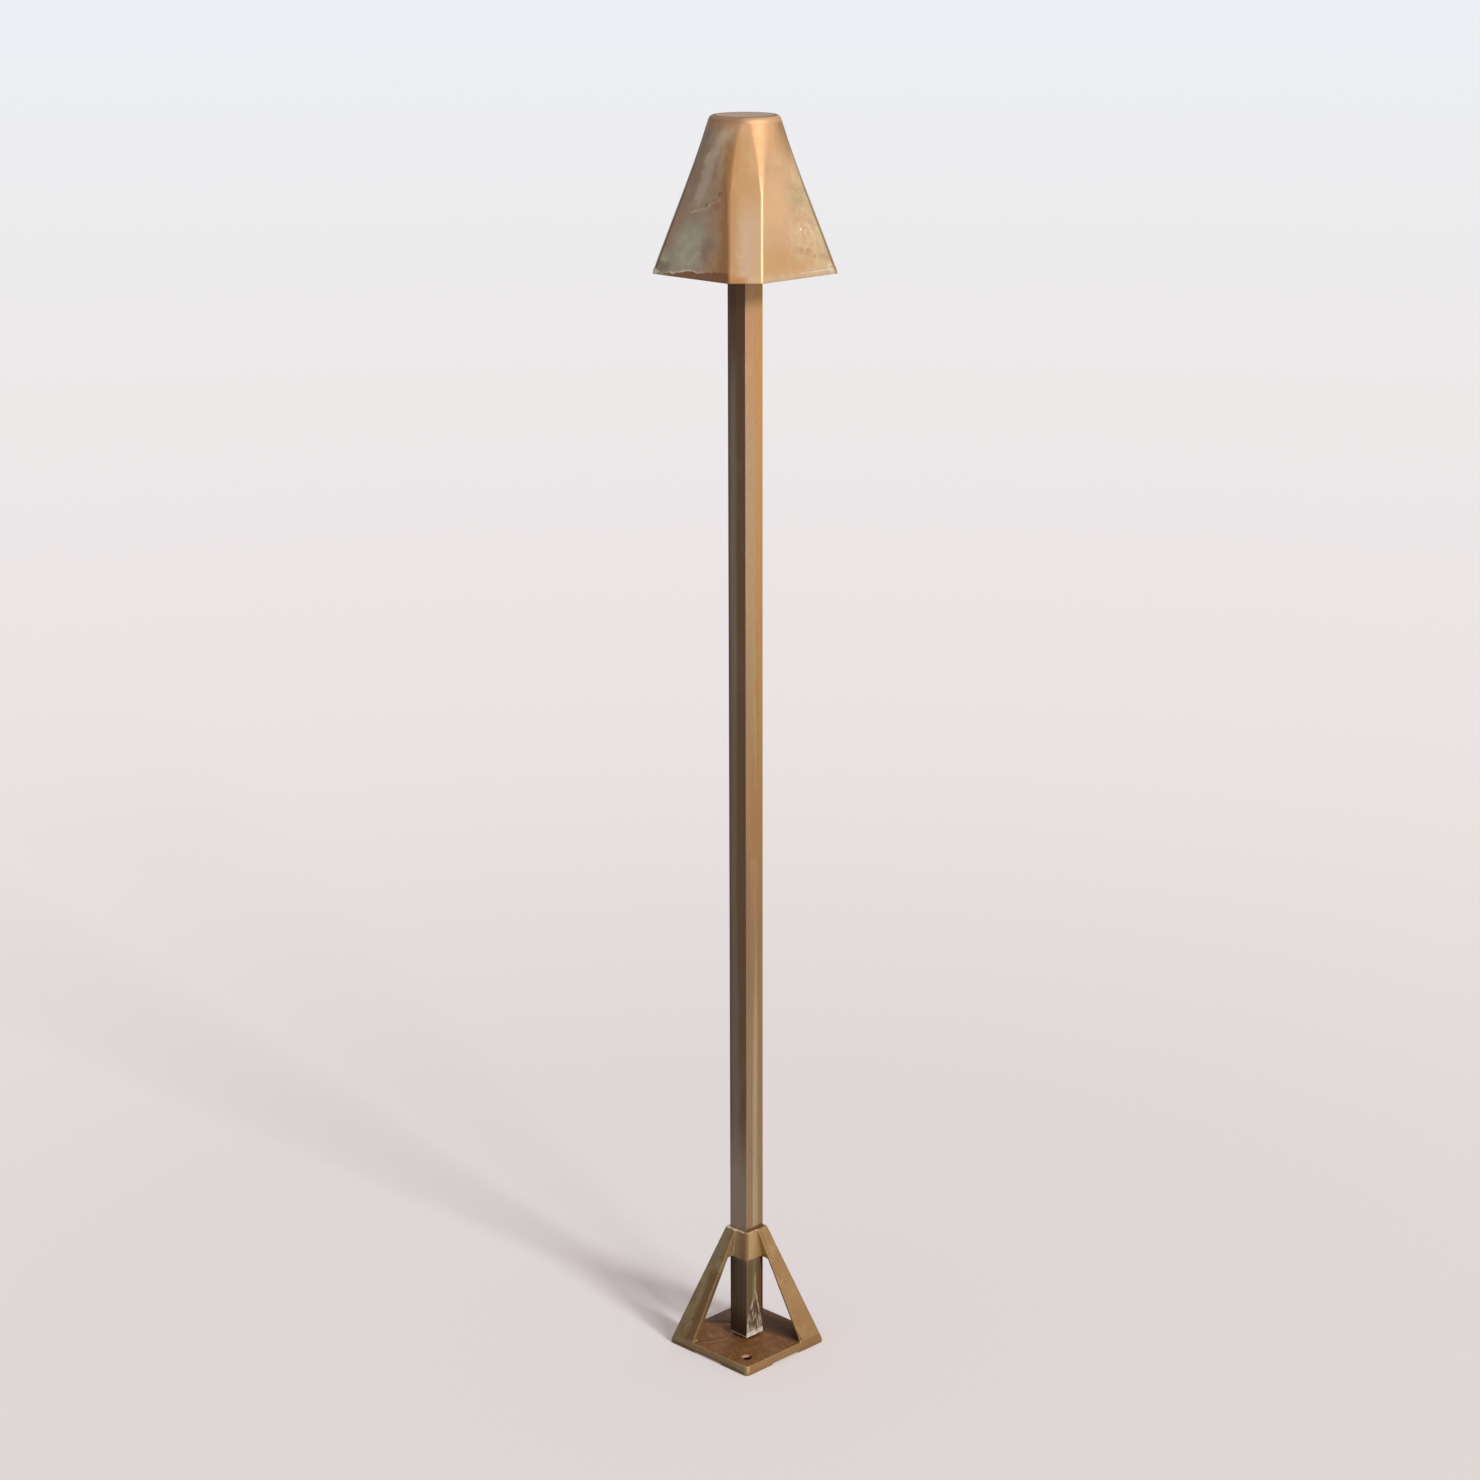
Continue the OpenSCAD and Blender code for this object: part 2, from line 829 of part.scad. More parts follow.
// The shade's section at a share t of its height: faces, facets and hips, inside a wall
function face_at(t) = shade_w / 2 + (shade_top_r - shade_w / 2) * t;
function facet_at(t) = shade_corner_w / 2 + (shade_top_r - shade_corner_w / 2) * t
    - facet_bow * t * t * (1 - t);
hip_last = shade_top_r - hip_flat;
function hip_at(t) = hip_r + hip_growth * t + (hip_last - hip_r - hip_growth) * pow(t, hip_power);
function shade_ring(t, wall) = lifted(
    hip_section(face_at(t) - wall, facet_at(t) - wall, max(hip_at(t) - wall, hip_r / 2)),
    shade_z0 + shade_h * t
);

// A nearly round ring for the shoulder and the crease
function round_ring(r, z) = lifted(hip_section(r, r, r - hip_flat), z);

module shade() {
    shares = [for (k = [0:shade_steps]) 1 - pow(1 - k / shade_steps, shade_crowding)];
    lean = atan((shade_w / 2 - shade_top_r) / shade_h);
    shoulder_in = shoulder_r * tan((quarter - lean) / 2);
    flat_r = shade_top_r - shoulder_in;
    shoulder_t = 1 - shoulder_in * cos(lean) / shade_h;
    ceiling_t = 1 - shade_wall / shade_h;
    inner = [for (t = shares) if (t < ceiling_t - shade_ring_gap) shade_ring(t, shade_wall)];
    outer = [for (t = shares) if (t < shoulder_t - shade_ring_gap) shade_ring(t, 0)];
    shoulder = [
        for (turn = [lean + shoulder_turn:shoulder_turn:quarter])
            round_ring(flat_r + shoulder_r * cos(turn), shade_z1 - shoulder_r * (1 - sin(turn)))
    ];
    crease = [
        round_ring(flat_r, shade_z1),
        round_ring(flat_r - crease_w, shade_z1 - crease_w),
        round_ring(flat_r - 2 * crease_w, shade_z1)
    ];
    inner_down = [for (k = [len(inner) - 1:-1:0]) inner[k]];
    color([0.72, 0.49, 0.27])
        loft(concat(
            [shade_ring(ceiling_t, shade_wall)], inner_down, outer,
            [shade_ring(shoulder_t, 0)], shoulder, crease
        ));
}

module thumb_screw(k) {
    color([0.78, 0.6, 0.3])
        rotate([0, 0, thumb_turn(k)])
            translate([0, 0, thumb_z])
                rotate([0, 90, 0])
                    difference() {
                        union() {
                            translate([0, 0, thumb_tip_r])
                                cylinder(d = thumb_d, h = thumb_head_r - thumb_tip_r + 1);
                            translate([0, 0, thumb_head_r])
                                cylinder(d = thumb_head_d, h = thumb_head_t);
                        }
                        for (f = [0:thumb_flutes - 1])
                            rotate([0, 0, 360 * f / thumb_flutes])
                                translate([thumb_head_d / 2, 0, thumb_head_r - 1])
                                    cylinder(d = thumb_flute_d, h = thumb_head_t + 2);
                    }
}

module thumb_screw_1() {
    thumb_screw(0);
}

module thumb_screw_2() {
    thumb_screw(1);
}

module thumb_screw_3() {
    thumb_screw(2);
}

base_casting();
stem();
foot_plug();
foot_nipple();
lock_washer();
lock_nut();
cable_grommet();
collar_screws();
hub();
hub_screws();
lamp_holder();
holder_screws();
lead_wire_a();
lead_wire_b();
splice_sleeves();
lens_gasket();
lens();
lamp_base();
lamp_capsule();
carrier_ring();
carrier_rods();
rod_screws();
carrier_disc();
disc_screw();
shade_boss();
shade();
thumb_screw_1();
thumb_screw_2();
thumb_screw_3();
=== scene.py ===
"""Looks of the garden post light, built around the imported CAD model."""
import json
import math

import bmesh
import bpy
import numpy as np
from mathutils import Matrix, Vector, noise

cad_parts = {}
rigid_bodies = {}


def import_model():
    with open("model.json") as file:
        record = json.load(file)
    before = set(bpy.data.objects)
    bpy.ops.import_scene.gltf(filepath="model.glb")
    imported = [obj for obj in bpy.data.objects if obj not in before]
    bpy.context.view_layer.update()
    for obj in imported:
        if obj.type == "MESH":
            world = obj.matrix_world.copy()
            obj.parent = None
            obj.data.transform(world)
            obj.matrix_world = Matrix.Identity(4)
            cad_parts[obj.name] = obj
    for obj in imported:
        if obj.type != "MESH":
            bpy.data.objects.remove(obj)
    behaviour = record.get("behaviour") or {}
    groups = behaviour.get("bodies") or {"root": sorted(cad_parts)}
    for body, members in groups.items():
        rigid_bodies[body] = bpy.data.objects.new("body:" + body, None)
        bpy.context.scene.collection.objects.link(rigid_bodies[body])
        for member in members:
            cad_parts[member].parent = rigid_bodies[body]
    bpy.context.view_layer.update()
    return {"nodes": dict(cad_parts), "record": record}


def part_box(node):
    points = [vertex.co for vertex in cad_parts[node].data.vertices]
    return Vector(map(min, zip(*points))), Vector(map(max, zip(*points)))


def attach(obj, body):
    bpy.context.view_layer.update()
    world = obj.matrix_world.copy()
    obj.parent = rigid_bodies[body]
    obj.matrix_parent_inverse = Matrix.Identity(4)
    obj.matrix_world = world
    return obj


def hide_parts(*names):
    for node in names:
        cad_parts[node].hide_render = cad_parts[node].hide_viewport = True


for old in list(bpy.data.objects):
    bpy.data.objects.remove(old)

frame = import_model()
nodes = frame["nodes"]
MM = 0.001

# Lengths are in millimetres, unless a comment says metres.
# Heights above the ground: the plate's upright edge, the plate, the collar, the shade's rim and top
LIP_Z, PLATE_Z, COLLAR_Z, RIM_Z, TOP_Z = 4.0, 10.0, 138.0, 1168.5, 1322.3
# The middle of the near ground screw's hole is this far along +X and along -Y
HOLE = 40.4
# Half the width of the shade's facets, and the arches that they end in: half their width over the
# root of the share of height below their tip, and the share of height at their tip
FACET, ARCH, ARCH_TIP = 15.6, 24.0, 0.965
ROOT_HALF = 0.7071


# ---------------------------------------------------------------- node trees

class Varying:
    """Something that varies over a surface, as an output socket of a node tree."""

    def __init__(self, tree, socket):
        self.tree, self.socket = tree, socket


class Value(Varying):
    """A number; arithmetic with it puts Math nodes into its tree."""

    def __add__(self, other):
        return self.tree.math("ADD", self, other)

    def __radd__(self, other):
        return self.tree.math("ADD", other, self)

    def __sub__(self, other):
        return self.tree.math("SUBTRACT", self, other)

    def __rsub__(self, other):
        return self.tree.math("SUBTRACT", other, self)

    def __mul__(self, other):
        return self.tree.math("MULTIPLY", self, other)

    def __rmul__(self, other):
        return self.tree.math("MULTIPLY", other, self)

    def __truediv__(self, other):
        return self.tree.math("DIVIDE", self, other)

    def __neg__(self):
        return self * -1.0

    def __abs__(self):
        return self.tree.math("ABSOLUTE", self)


class Coat(Varying):
    """A colour, which others are laid over in turn."""

    def lay(self, colour, mask):
        """Cover the colour so far where the mask is 1."""
        self.socket = mix(mask, self, colour).socket

    def dim(self, factor):
        """Multiply the colour so far by a number."""
        grey = self.tree.put("ShaderNodeCombineColor", (factor, factor, factor))
        self.socket = self.tree.put(
            "ShaderNodeMix", {MIX_BY: 1.0, COLOUR_A: self, COLOUR_B: grey},
            data_type="RGBA", blend_type="MULTIPLY",
        ).outputs[MIXED_COLOUR]


# Sockets of the Mix node, whose names stand for more than one socket
MIX_BY, NUMBER_A, NUMBER_B, COLOUR_A, COLOUR_B = 0, 2, 3, 6, 7
MIXED_NUMBER, MIXED_COLOUR = 0, 2


def srgb(r, g, b):
    return tuple(
        v / 12.92 if v <= 0.04045 else ((v + 0.055) / 1.055) ** 2.4
        for v in (r / 255, g / 255, b / 255)
    )


def tint(colour):
    """A colour as a node takes it, also from three sRGB numbers of 0 to 255."""
    return (*srgb(*colour), 1.0) if isinstance(colour, tuple) else colour


def mix(mask, under, over):
    """The colour under where the mask is 0, and the one over where it is 1."""
    node = mask.tree.put(
        "ShaderNodeMix", {MIX_BY: mask, COLOUR_A: tint(under), COLOUR_B: tint(over)},
        data_type="RGBA",
    )
    return Coat(mask.tree, node.outputs[MIXED_COLOUR])


def lerp(mask, under, over):
    """The same for two numbers."""
    node = mask.tree.put(
        "ShaderNodeMix", {MIX_BY: mask, NUMBER_A: under, NUMBER_B: over}, data_type="FLOAT"
    )
    return Value(mask.tree, node.outputs[MIXED_NUMBER])


def line(value, low, high, at_low=0.0, at_high=1.0, kind="LINEAR"):
    """at_low up to low and at_high from high on, with a straight run between them."""
    node = value.tree.put(
        "ShaderNodeMapRange", (value, low, high, at_low, at_high), interpolation_type=kind
    )
    return Value(value.tree, node.outputs[0])


def step(value, low, high):
    """0 at low, 1 at high, smooth between them; low may be the greater."""
    return line(value, low, high, kind="SMOOTHSTEP")


def root(value):
    return value.tree.math("SQRT", value)


def least(value, other):
    return value.tree.math("MINIMUM", value, other)


def most(value, other):
    return value.tree.math("MAXIMUM", value, other)


def blur(grain, amount):
    """Noise brought about 0 and scaled: a wobble for an edge."""
    return (grain - 0.5) * amount


class Tree:
    """A node tree, empty at first."""

    def __init__(self, owner):
        owner.use_nodes = True
        self.nodes, self.links = owner.node_tree.nodes, owner.node_tree.links
        self.nodes.clear()

    def put(self, kind, inputs=(), **settings):
        """A new node. Its inputs come in their order, or in a dict by name or number, and a node
        among them stands for its first output. The settings are the node's own properties."""
        node = self.nodes.new(kind)
        for key, value in settings.items():
            setattr(node, key, value)
        for key, value in inputs.items() if isinstance(inputs, dict) else enumerate(inputs):
            if isinstance(value, bpy.types.Node):
                value = value.outputs[0]
            elif isinstance(value, Varying):
                value = value.socket
            if isinstance(value, bpy.types.NodeSocket):
                self.links.new(value, node.inputs[key])
            else:
                node.inputs[key].default_value = value
        return node

    def math(self, operation, *values):
        return Value(self, self.put("ShaderNodeMath", values, operation=operation).outputs[0])

    def seen(self):
        """1 for rays that show a surface as it is: straight, mirrored or through glass."""
        rays = self.put("ShaderNodeLightPath").outputs
        straight, mirrored, through = (
            Value(self, rays[name])
            for name in ("Is Camera Ray", "Is Glossy Ray", "Is Transmission Ray")
        )
        return most(straight, most(mirrored, through))


class Shader(Tree):
    """A material's node tree, with each point's place and normal in object space at hand."""

    def __init__(self, name):
        self.mat = bpy.data.materials.new(name)
        super().__init__(self.mat)
        point = self.put("ShaderNodeTexCoord").outputs
        scaled = self.put(
            "ShaderNodeVectorMath", {0: point["Object"], "Scale": 1 / MM}, operation="SCALE"
        )
        self.place = scaled.outputs[0]
        self.x, self.y, self.z = self.split(self.place)
        self.nx, self.ny, self.nz = self.split(point["Normal"])

    def split(self, vector):
        return [Value(self, out) for out in self.put("ShaderNodeSeparateXYZ", (vector,)).outputs]

    def noise(self, size, detail=4.0, rough=0.55, warp=0.0, stretch=(1, 1, 1), shift=(0, 0, 0)):
        """Soft noise about 0.5, with features about size across."""
        place = self.put(
            "ShaderNodeVectorMath", (self.place, stretch, shift), operation="MULTIPLY_ADD"
        )
        node = self.put("ShaderNodeTexNoise", {
            "Vector": place, "Scale": 1.0 / size, "Detail": detail, "Roughness": rough,
            "Distortion": warp,
        })
        return Value(self, node.outputs["Fac"])

    def cells(self, size):
        """How far it is to the nearest of some scattered points, over their spacing of size."""
        node = self.put("ShaderNodeTexVoronoi", {"Vector": self.place, "Scale": 1.0 / size})
        return Value(self, node.outputs["Distance"])

    def attribute(self, name):
        return Value(self, self.put("ShaderNodeAttribute", attribute_name=name).outputs["Fac"])

    def spot(self, centre, radii, wobble, soft):
        """A patch about a point, 1 inside and 0 outside, whose edge the noise in wobble moves.
        An axis with a radius of 0 doesn't count."""
        squares = []
        for value, middle, radius in zip((self.x, self.y, self.z), centre, radii):
            if radius:
                part = (value - middle) / radius
                squares.append(part * part)
        reach = root(sum(squares[1:], squares[0]))
        if isinstance(wobble, Value):
            reach = reach + wobble
        return step(reach, 1.0 + soft, 1.0 - soft)

    def bump(self, height, depth, strength):
        return self.put(
            "ShaderNodeBump", {"Height": height, "Distance": depth * MM, "Strength": strength}
        )

    def finish(self, colour, metallic, rough, normal, **settings):
        inputs = {"Base Color": colour, "Metallic": metallic, "Roughness": rough, "Normal": normal}
        inputs.update({name.replace("_", " "): value for name, value in settings.items()})
        self.put("ShaderNodeOutputMaterial", (self.put("ShaderNodeBsdfPrincipled", inputs),))
        return self.mat


# ---------------------------------------------------------------- materials

def shade_brass():
    s = Shader("shade_weathered_brass")
    t = line(s.z, RIM_Z, TOP_Z)
    big = s.noise(46, 4, 0.55, 0.6)
    mid = s.noise(17, 4, 0.55, 1.3, shift=(31, 7, 3))
    fine = s.noise(5.0, 4, 0.6, 0.4)
    wisp = s.noise(12, 3, 0.5, 2.2, stretch=(1, 1, 0.6), shift=(2, 17, 5))
    wobble = blur(big, 1.1) + blur(mid, 1.0) + blur(fine, 0.3)

    # Where a point stands: past the facet's edge towards a face that looks along X or along Y,
    # and how far along that face, which is half as wide as half says
    on_x = step(abs(s.x) - abs(s.y), -0.2, 0.2)
    across = (abs(s.x) - abs(s.y)) * ROOT_HALF
    edge = least(ARCH * root(most(ARCH_TIP - t, 0.0)), FACET)
    past_x = across - edge
    past_y = -across - edge
    flat = step(most(past_x, past_y), 0.0, 1.4)
    half = line(t, 0.0, 1.0, 52.9, 14.0)
    u = lerp(on_x, s.x, s.y) / half
    dark_side = step(s.nx + s.ny, 0.28, -0.28)
    near_y = step(s.ny, -0.55, -0.8)
    high = step(t, 0.5, 0.72)

    # Bare facets: tan, more orange at two thirds of the height and pinker low down
    bare = mix(step(t + blur(mid, 0.12), 0.3, 0.62), (178, 148, 120), (175, 134, 89))
    bare.lay((180, 140, 100), step(t + blur(mid, 0.1), 0.78, 0.95))
    # Painted shade: browner towards the dark face's side below two thirds of the height
    bare.lay((166, 125, 78), step(across + blur(mid, 7.0), -1.0, -12.0) * step(t, 0.7, 0.5) * 0.85)
    bare.lay((186, 152, 116), step(mid, 0.5, 0.66) * 0.25)
    bare.lay(
        (164, 114, 62), step(s.z, 1177.5, 1171.5) * step(across + blur(mid, 8.0), 9.0, -4.0) * 0.85
    )
    # Painted shade along the near facet's edge on the dark face's side
    bare.lay(
        (134, 90, 54),
        step(past_y, -2.2, -0.6) * step(t, 0.86, 0.74) * step(s.y, 10.0, -10.0) * 0.65,
    )
    # Painted shade towards the dark face's side and painted light towards the light face's side:
    # browner on the one, paler on the other
    bare.lay((168, 122, 72), step(across + blur(mid, 5.0), -1.0, -9.0) * step(t, 0.6, 0.7) * 0.6)
    bare.lay((184, 146, 101), step(across + blur(mid, 4.0), 1.0, 7.0) * step(t, 0.58, 0.7) * 0.7)
    bare.lay((178, 145, 109), step(across + blur(mid, 5.0), 2.0, 9.0) * step(t, 0.4, 0.3) * 0.7)
    bare.lay(
        (190, 154, 115), step(across + blur(mid, 5.0), 0.0, 7.0) * step(s.z, 1178.0, 1173.0) * 0.7
    )

    # Light faces: tan, brighter beside the facet, golden low down, with soft greenish clouds and
    # small pale marks; at the top, painted shade makes them browner towards the far side
    tan = mix(step(big + blur(mid, 0.4), 0.36, 0.64), (190, 153, 114), (197, 162, 126))
    tan.lay((205, 162, 119), s.spot((56, -20, 1244), (60, 22, 22), wobble, 0.6) * 0.7)
    # Painted shade: at the top the light faces turn browner towards the far side
    far = step(u + blur(mid, 0.5), -0.1, 0.95)
    tan.lay(mix(far, (198, 152, 105), (146, 102, 62)), step(t, 0.66, 0.86) * 0.8)
    tan.lay((176, 140, 101), s.spot((41, 9, 1298), (60, 10, 12), wobble, 0.6) * 0.6)
    low_band = s.spot((76, -22, 1184), (60, 34, 17), wobble, 0.5)
    tan.lay((186, 144, 98), low_band * 0.85)
    side_band = (
        step(abs(s.z - 1194.5 + (s.y - 6.0) * 0.27 + blur(mid, 7.0)), 5.5, 1.5)
        * step(s.y, -8.0, 6.0)
    )
    tan.lay((176, 136, 96), side_band * 0.8)
    clouds = (
        step(mid + blur(big, 0.7), 0.44, 0.62) * step(u + blur(big, 1.0), -0.3, 0.45)
        * step(t, 0.86, 0.7)
    )
    tan.lay((186, 164, 124), clouds * 0.6)
    tan.lay((166, 138, 96), s.spot((56, 18, 1247), (60, 15, 12), wobble, 0.6) * 0.6)
    wisps = (
        step(abs(wisp - 0.5), 0.03, 0.006) * step(u + blur(mid, 0.6), 0.0, 0.5)
        * step(t, 0.8, 0.6)
    )
    tan.lay((214, 192, 148), wisps * 0.35)
    marks = (
        s.spot((65, 25, 1212), (60, 20, 9), wobble, 0.5) * step(fine + blur(mid, 0.5), 0.48, 0.62)
    )
    tan.lay((222, 200, 166), marks * 0.36)
    tan.lay((240, 222, 190), s.spot((65, 13, 1214.5), (60, 1.5, 1.2), 0.0, 0.4) * 0.9)
    tan.lay((198, 180, 128), s.spot((66, 38, 1206), (60, 3.5, 13), wobble * 0.6, 0.5) * 0.6)
    tan.lay((188, 163, 132), step(s.z, 1179.0, 1171.0) * step(u, -0.95, -0.8) * 0.5)
    tan.lay((178, 160, 130), step(u + blur(mid, 0.3), 0.6, 0.9) * step(t, 0.88, 0.7) * 0.4)
    lines = step(abs(s.z - 1173.4), 0.9, 0.3)
    lines = most(lines, s.spot((75, 47, 1176), (60, 6, 6), wobble, 0.4) * step(fine, 0.4, 0.55))
    tan.lay((216, 196, 170), lines * step(u + blur(fine, 1.0), -0.2, 0.5) * 0.6)
    # Painted shade: a dark line where the light faces' far hips turn away
    tan.lay((112, 90, 68), step(past_x, 3.6, 1.6) * step(s.y, 0.0, 4.0) * on_x * 0.85)
    # A painted highlight along the facet's edge on the light face's side, and its painted glow,
    # which spreads wider further up
    near = step(u, 0.25, 0.0) * on_x
    glow = step(past_x, lerp(high, 2.2, 17.0), 0.6) * near * 0.7
    tan.lay(mix(high, (206, 160, 108), (177, 134, 92)), glow)
    wear_and_highlight = step(past_x, -1.0, -0.1) * step(past_x, 2.4, 1.0) * step(t, 0.985, 0.93) * near

    # Dark faces: grey-brown with a pale slanting cloud, warm brass beside the near facet,
    # brown towards the far side and a verdigris cloud low down
    grey = mix(step(mid + blur(big, 1.0), 0.36, 0.64), (146, 122, 99), (159, 137, 112))
    far = step(u + blur(mid, 0.7), -0.15, -0.7) * step(t, 0.25, 0.45)
    grey.lay((137, 115, 93), far * 0.75)
    low_far = s.spot((-34, -66, 1212), (14, 60, 22), wobble, 0.6)
    grey.lay((150, 122, 96), low_far * 0.7)
    middle = most(s.z - 1278.0, 0.0) * 0.45 - 3.0 - most(1262.0 - s.z, 0.0) * 0.3
    streak = step(abs(s.x - middle + blur(mid, 15.0) + blur(fine, 4.0)), 10.5, 3.0)
    streak = streak * step(s.z, 1226.0, 1250.0) * step(s.z, 1319.0, 1309.0) * near_y
    grey.lay(mix(step(s.z, 1276.0, 1300.0), (174, 155, 134), (188, 163, 137)), streak * 0.8)
    rosy = step(u + blur(mid, 0.6), 0.2, 0.5) * step(t, 0.9, 0.76)
    grey.lay(mix(step(t, 0.54, 0.7), (168, 128, 92), (174, 142, 112)), rosy * 0.75)
    warm = (
        step(u + blur(mid, 0.45) + blur(big, 0.4), 0.58, 0.88)
        * step(t + blur(mid, 0.2), 0.92, 0.76)
    )
    grey.lay(mix(step(t, 0.5, 0.74), (151, 108, 63), (147, 105, 60)), warm * 0.9)
    verd = s.spot((-8, -70, 1197), (22, 60, 24), wobble, 0.55)
    verd = most(verd, s.spot((-36, -72, 1180), (26, 60, 12), wobble, 0.5) * 0.7)
    verd = most(verd, s.spot((-70, 8, 1215), (60, 26, 38), wobble, 0.5) * 0.8)
    grey.lay(mix(step(mid, 0.4, 0.62), (160, 157, 134), (172, 168, 146)), verd * 0.75)
    mauve = s.spot((17, -66, 1207), (9, 60, 22), wobble, 0.6)
    grey.lay((160, 134, 112), mauve * 0.6)
    shade_spot = (
        s.spot((17, -70, 1196), (8, 60, 13), wobble, 0.5)
        * (1 - s.spot((23, -70, 1192), (4.5, 60, 7), wobble, 0.5) * 0.9)
    )
    grey.lay((134, 110, 90), shade_spot * 0.6)
    bend = s.x - 2.0
    sag = bend * 0.36 + bend * bend * 0.008 + (1235.5 - s.z)
    vein = step(abs(sag + blur(mid, 1.0) * 7.0 + blur(fine, 4.0)), 1.9, 0.5)
    vein = vein * step(s.x, -22.0, -14.0) * step(s.x, 24.0, 18.0)
    grey.lay((190, 168, 142), vein * near_y * 0.5)
    pits = s.spot((0, -58, 1239), (7, 60, 3.4), wobble * 1.4, 0.3)
    grey.lay((88, 80, 54), pits * step(fine, 0.36, 0.54) * 0.75)
    rust = most(
        s.spot((20, -56, 1251), (3.4, 60, 2.6), wobble, 0.5),
        s.spot((17, -57, 1240), (7, 60, 4.5), wobble, 0.5) * 0.6,
    )
    grey.lay((140, 88, 56), rust * 0.75)
    grey.lay((166, 127, 92), step(t + blur(mid, 0.1), 0.87, 0.955) * 0.8)
    grey.lay(
        (172, 131, 93), step(past_y, 5.0, 1.0) * step(t, 0.78, 0.88) * step(s.x, 0.0, 4.0) * 0.6
    )
    grey.lay((108, 92, 76), s.spot((-43, -74, 1177), (10, 60, 5.5), wobble, 0.5) * near_y * 0.65)
    # Painted shade: a dark line where the dark faces' far hips turn away
    grey.lay((88, 72, 58), step(past_y, 4.0, 1.6) * step(s.x, 0.0, -4.0) * (1 - on_x) * 0.8)
    # A reddish band above the rim, a jagged pale line over it, a pale far corner and pale specks
    reach = (
        3.0 + blur(mid, 7.0) + blur(fine, 4.0) + step(u, -0.55, -0.1) * 3.4
        + step(u, 0.1, 0.7) * 2.4
    )
    above = s.z - RIM_Z - reach
    band = step(above, 0.6, -0.4) * step(u + blur(mid, 0.4), -0.8, -0.5)
    crust = step(above, -0.3, 0.3) * step(above, 2.0, 0.8) * step(u, 0.4, 0.1)
    crust = crust * step(abs(s.x + 37.0), 5.0, 9.0)
    crust = most(
        crust, s.spot((-51, -76, 1170.5), (5.5, 60, 4), wobble, 0.4) * step(fine, 0.34, 0.5)
    )
    grey.lay(mix(step(u, 0.3, 0.8), (123, 83, 55), (124, 82, 46)), band * 0.95)
    grey.lay((206, 192, 172), crust * step(mid, 0.36, 0.5) * 0.85)
    specks = step(s.cells(4.2), 0.17, 0.08) * step(s.z, 1182.0, 1174.0) * step(u, 0.2, -0.2)
    grey.lay((204, 192, 172), specks * 0.5)

    # Mottling over the dark faces, and their far corner at the top a shade darker
    mottle = s.noise(26, 5, 0.66, 0.9, shift=(9, 2, 14))
    grey.dim(line(mottle, 0.34, 0.66, 0.93, 1.06))
    grey.dim(lerp(step(u, -0.3, -0.7) * step(t, 0.8, 0.88), 1.0, 0.9))
    grey.lay(
        (176, 135, 95), step(past_y, 3.4, 1.2) * step(t, 0.84, 0.9) * step(s.x, 0.0, 4.0) * 0.6
    )
    flat_colour = mix(dark_side, tan, grey)
    bare.lay(grey, step(s.nx + s.ny, -0.5, -1.1) * 0.75)
    colour = mix(flat, bare, flat_colour)
    # The painted highlight along the near facet's edge, on the lit side only
    colour.lay(mix(high, (240, 192, 142), (179, 133, 95)), wear_and_highlight * (1 - dark_side) * 0.9)

    # The shoulder, the flat top and its crease
    shoulder = step(s.z, 1314.5, 1318.5)
    colour.lay(mix(dark_side, (206, 160, 116), (150, 112, 80)), shoulder * 0.7)
    top = step(s.nz, 0.8, 0.97)
    colour.lay(mix(step(mid, 0.4, 0.62), (164, 130, 96), (160, 142, 124)), top * 0.9)
    radius = root(s.x * s.x + s.y * s.y)
    crease = step(radius, 28.6, 29.6) * step(radius, 33.0, 31.8) * step(s.z, 1320.4, 1321.2)
    colour.lay((84, 56, 36), crease * 0.75)
    # The inside, where the metal faces the middle, is dull and dark
    outward = s.nx * s.x + s.ny * s.y + s.nz * (s.z - 1240.0)
    inside = s.math("LESS_THAN", outward, 0.0)
    colour.lay(mix(step(mid, 0.4, 0.65), (112, 82, 54), (132, 112, 84)), inside * 0.8)
    # Fine mottling over everything
    colour.dim(line(fine * 0.6 + wisp * 0.4, 0.3, 0.7, 0.95, 1.04))

    dull = most(flat * lerp(dark_side, clouds * 0.7, 0.8), crust * flat)
    metallic = lerp(dull, 0.5, 0.25)
    rough = lerp(dull, 0.56, 0.6) + blur(fine, 0.14) + blur(mid, 0.12)
    height = big * 0.8 + mid * 0.25 + fine * 0.08 + crust * 0.12
    return s.finish(colour, metallic, rough, s.bump(height, 0.8, 0.3), Specular_IOR_Level=0.35)


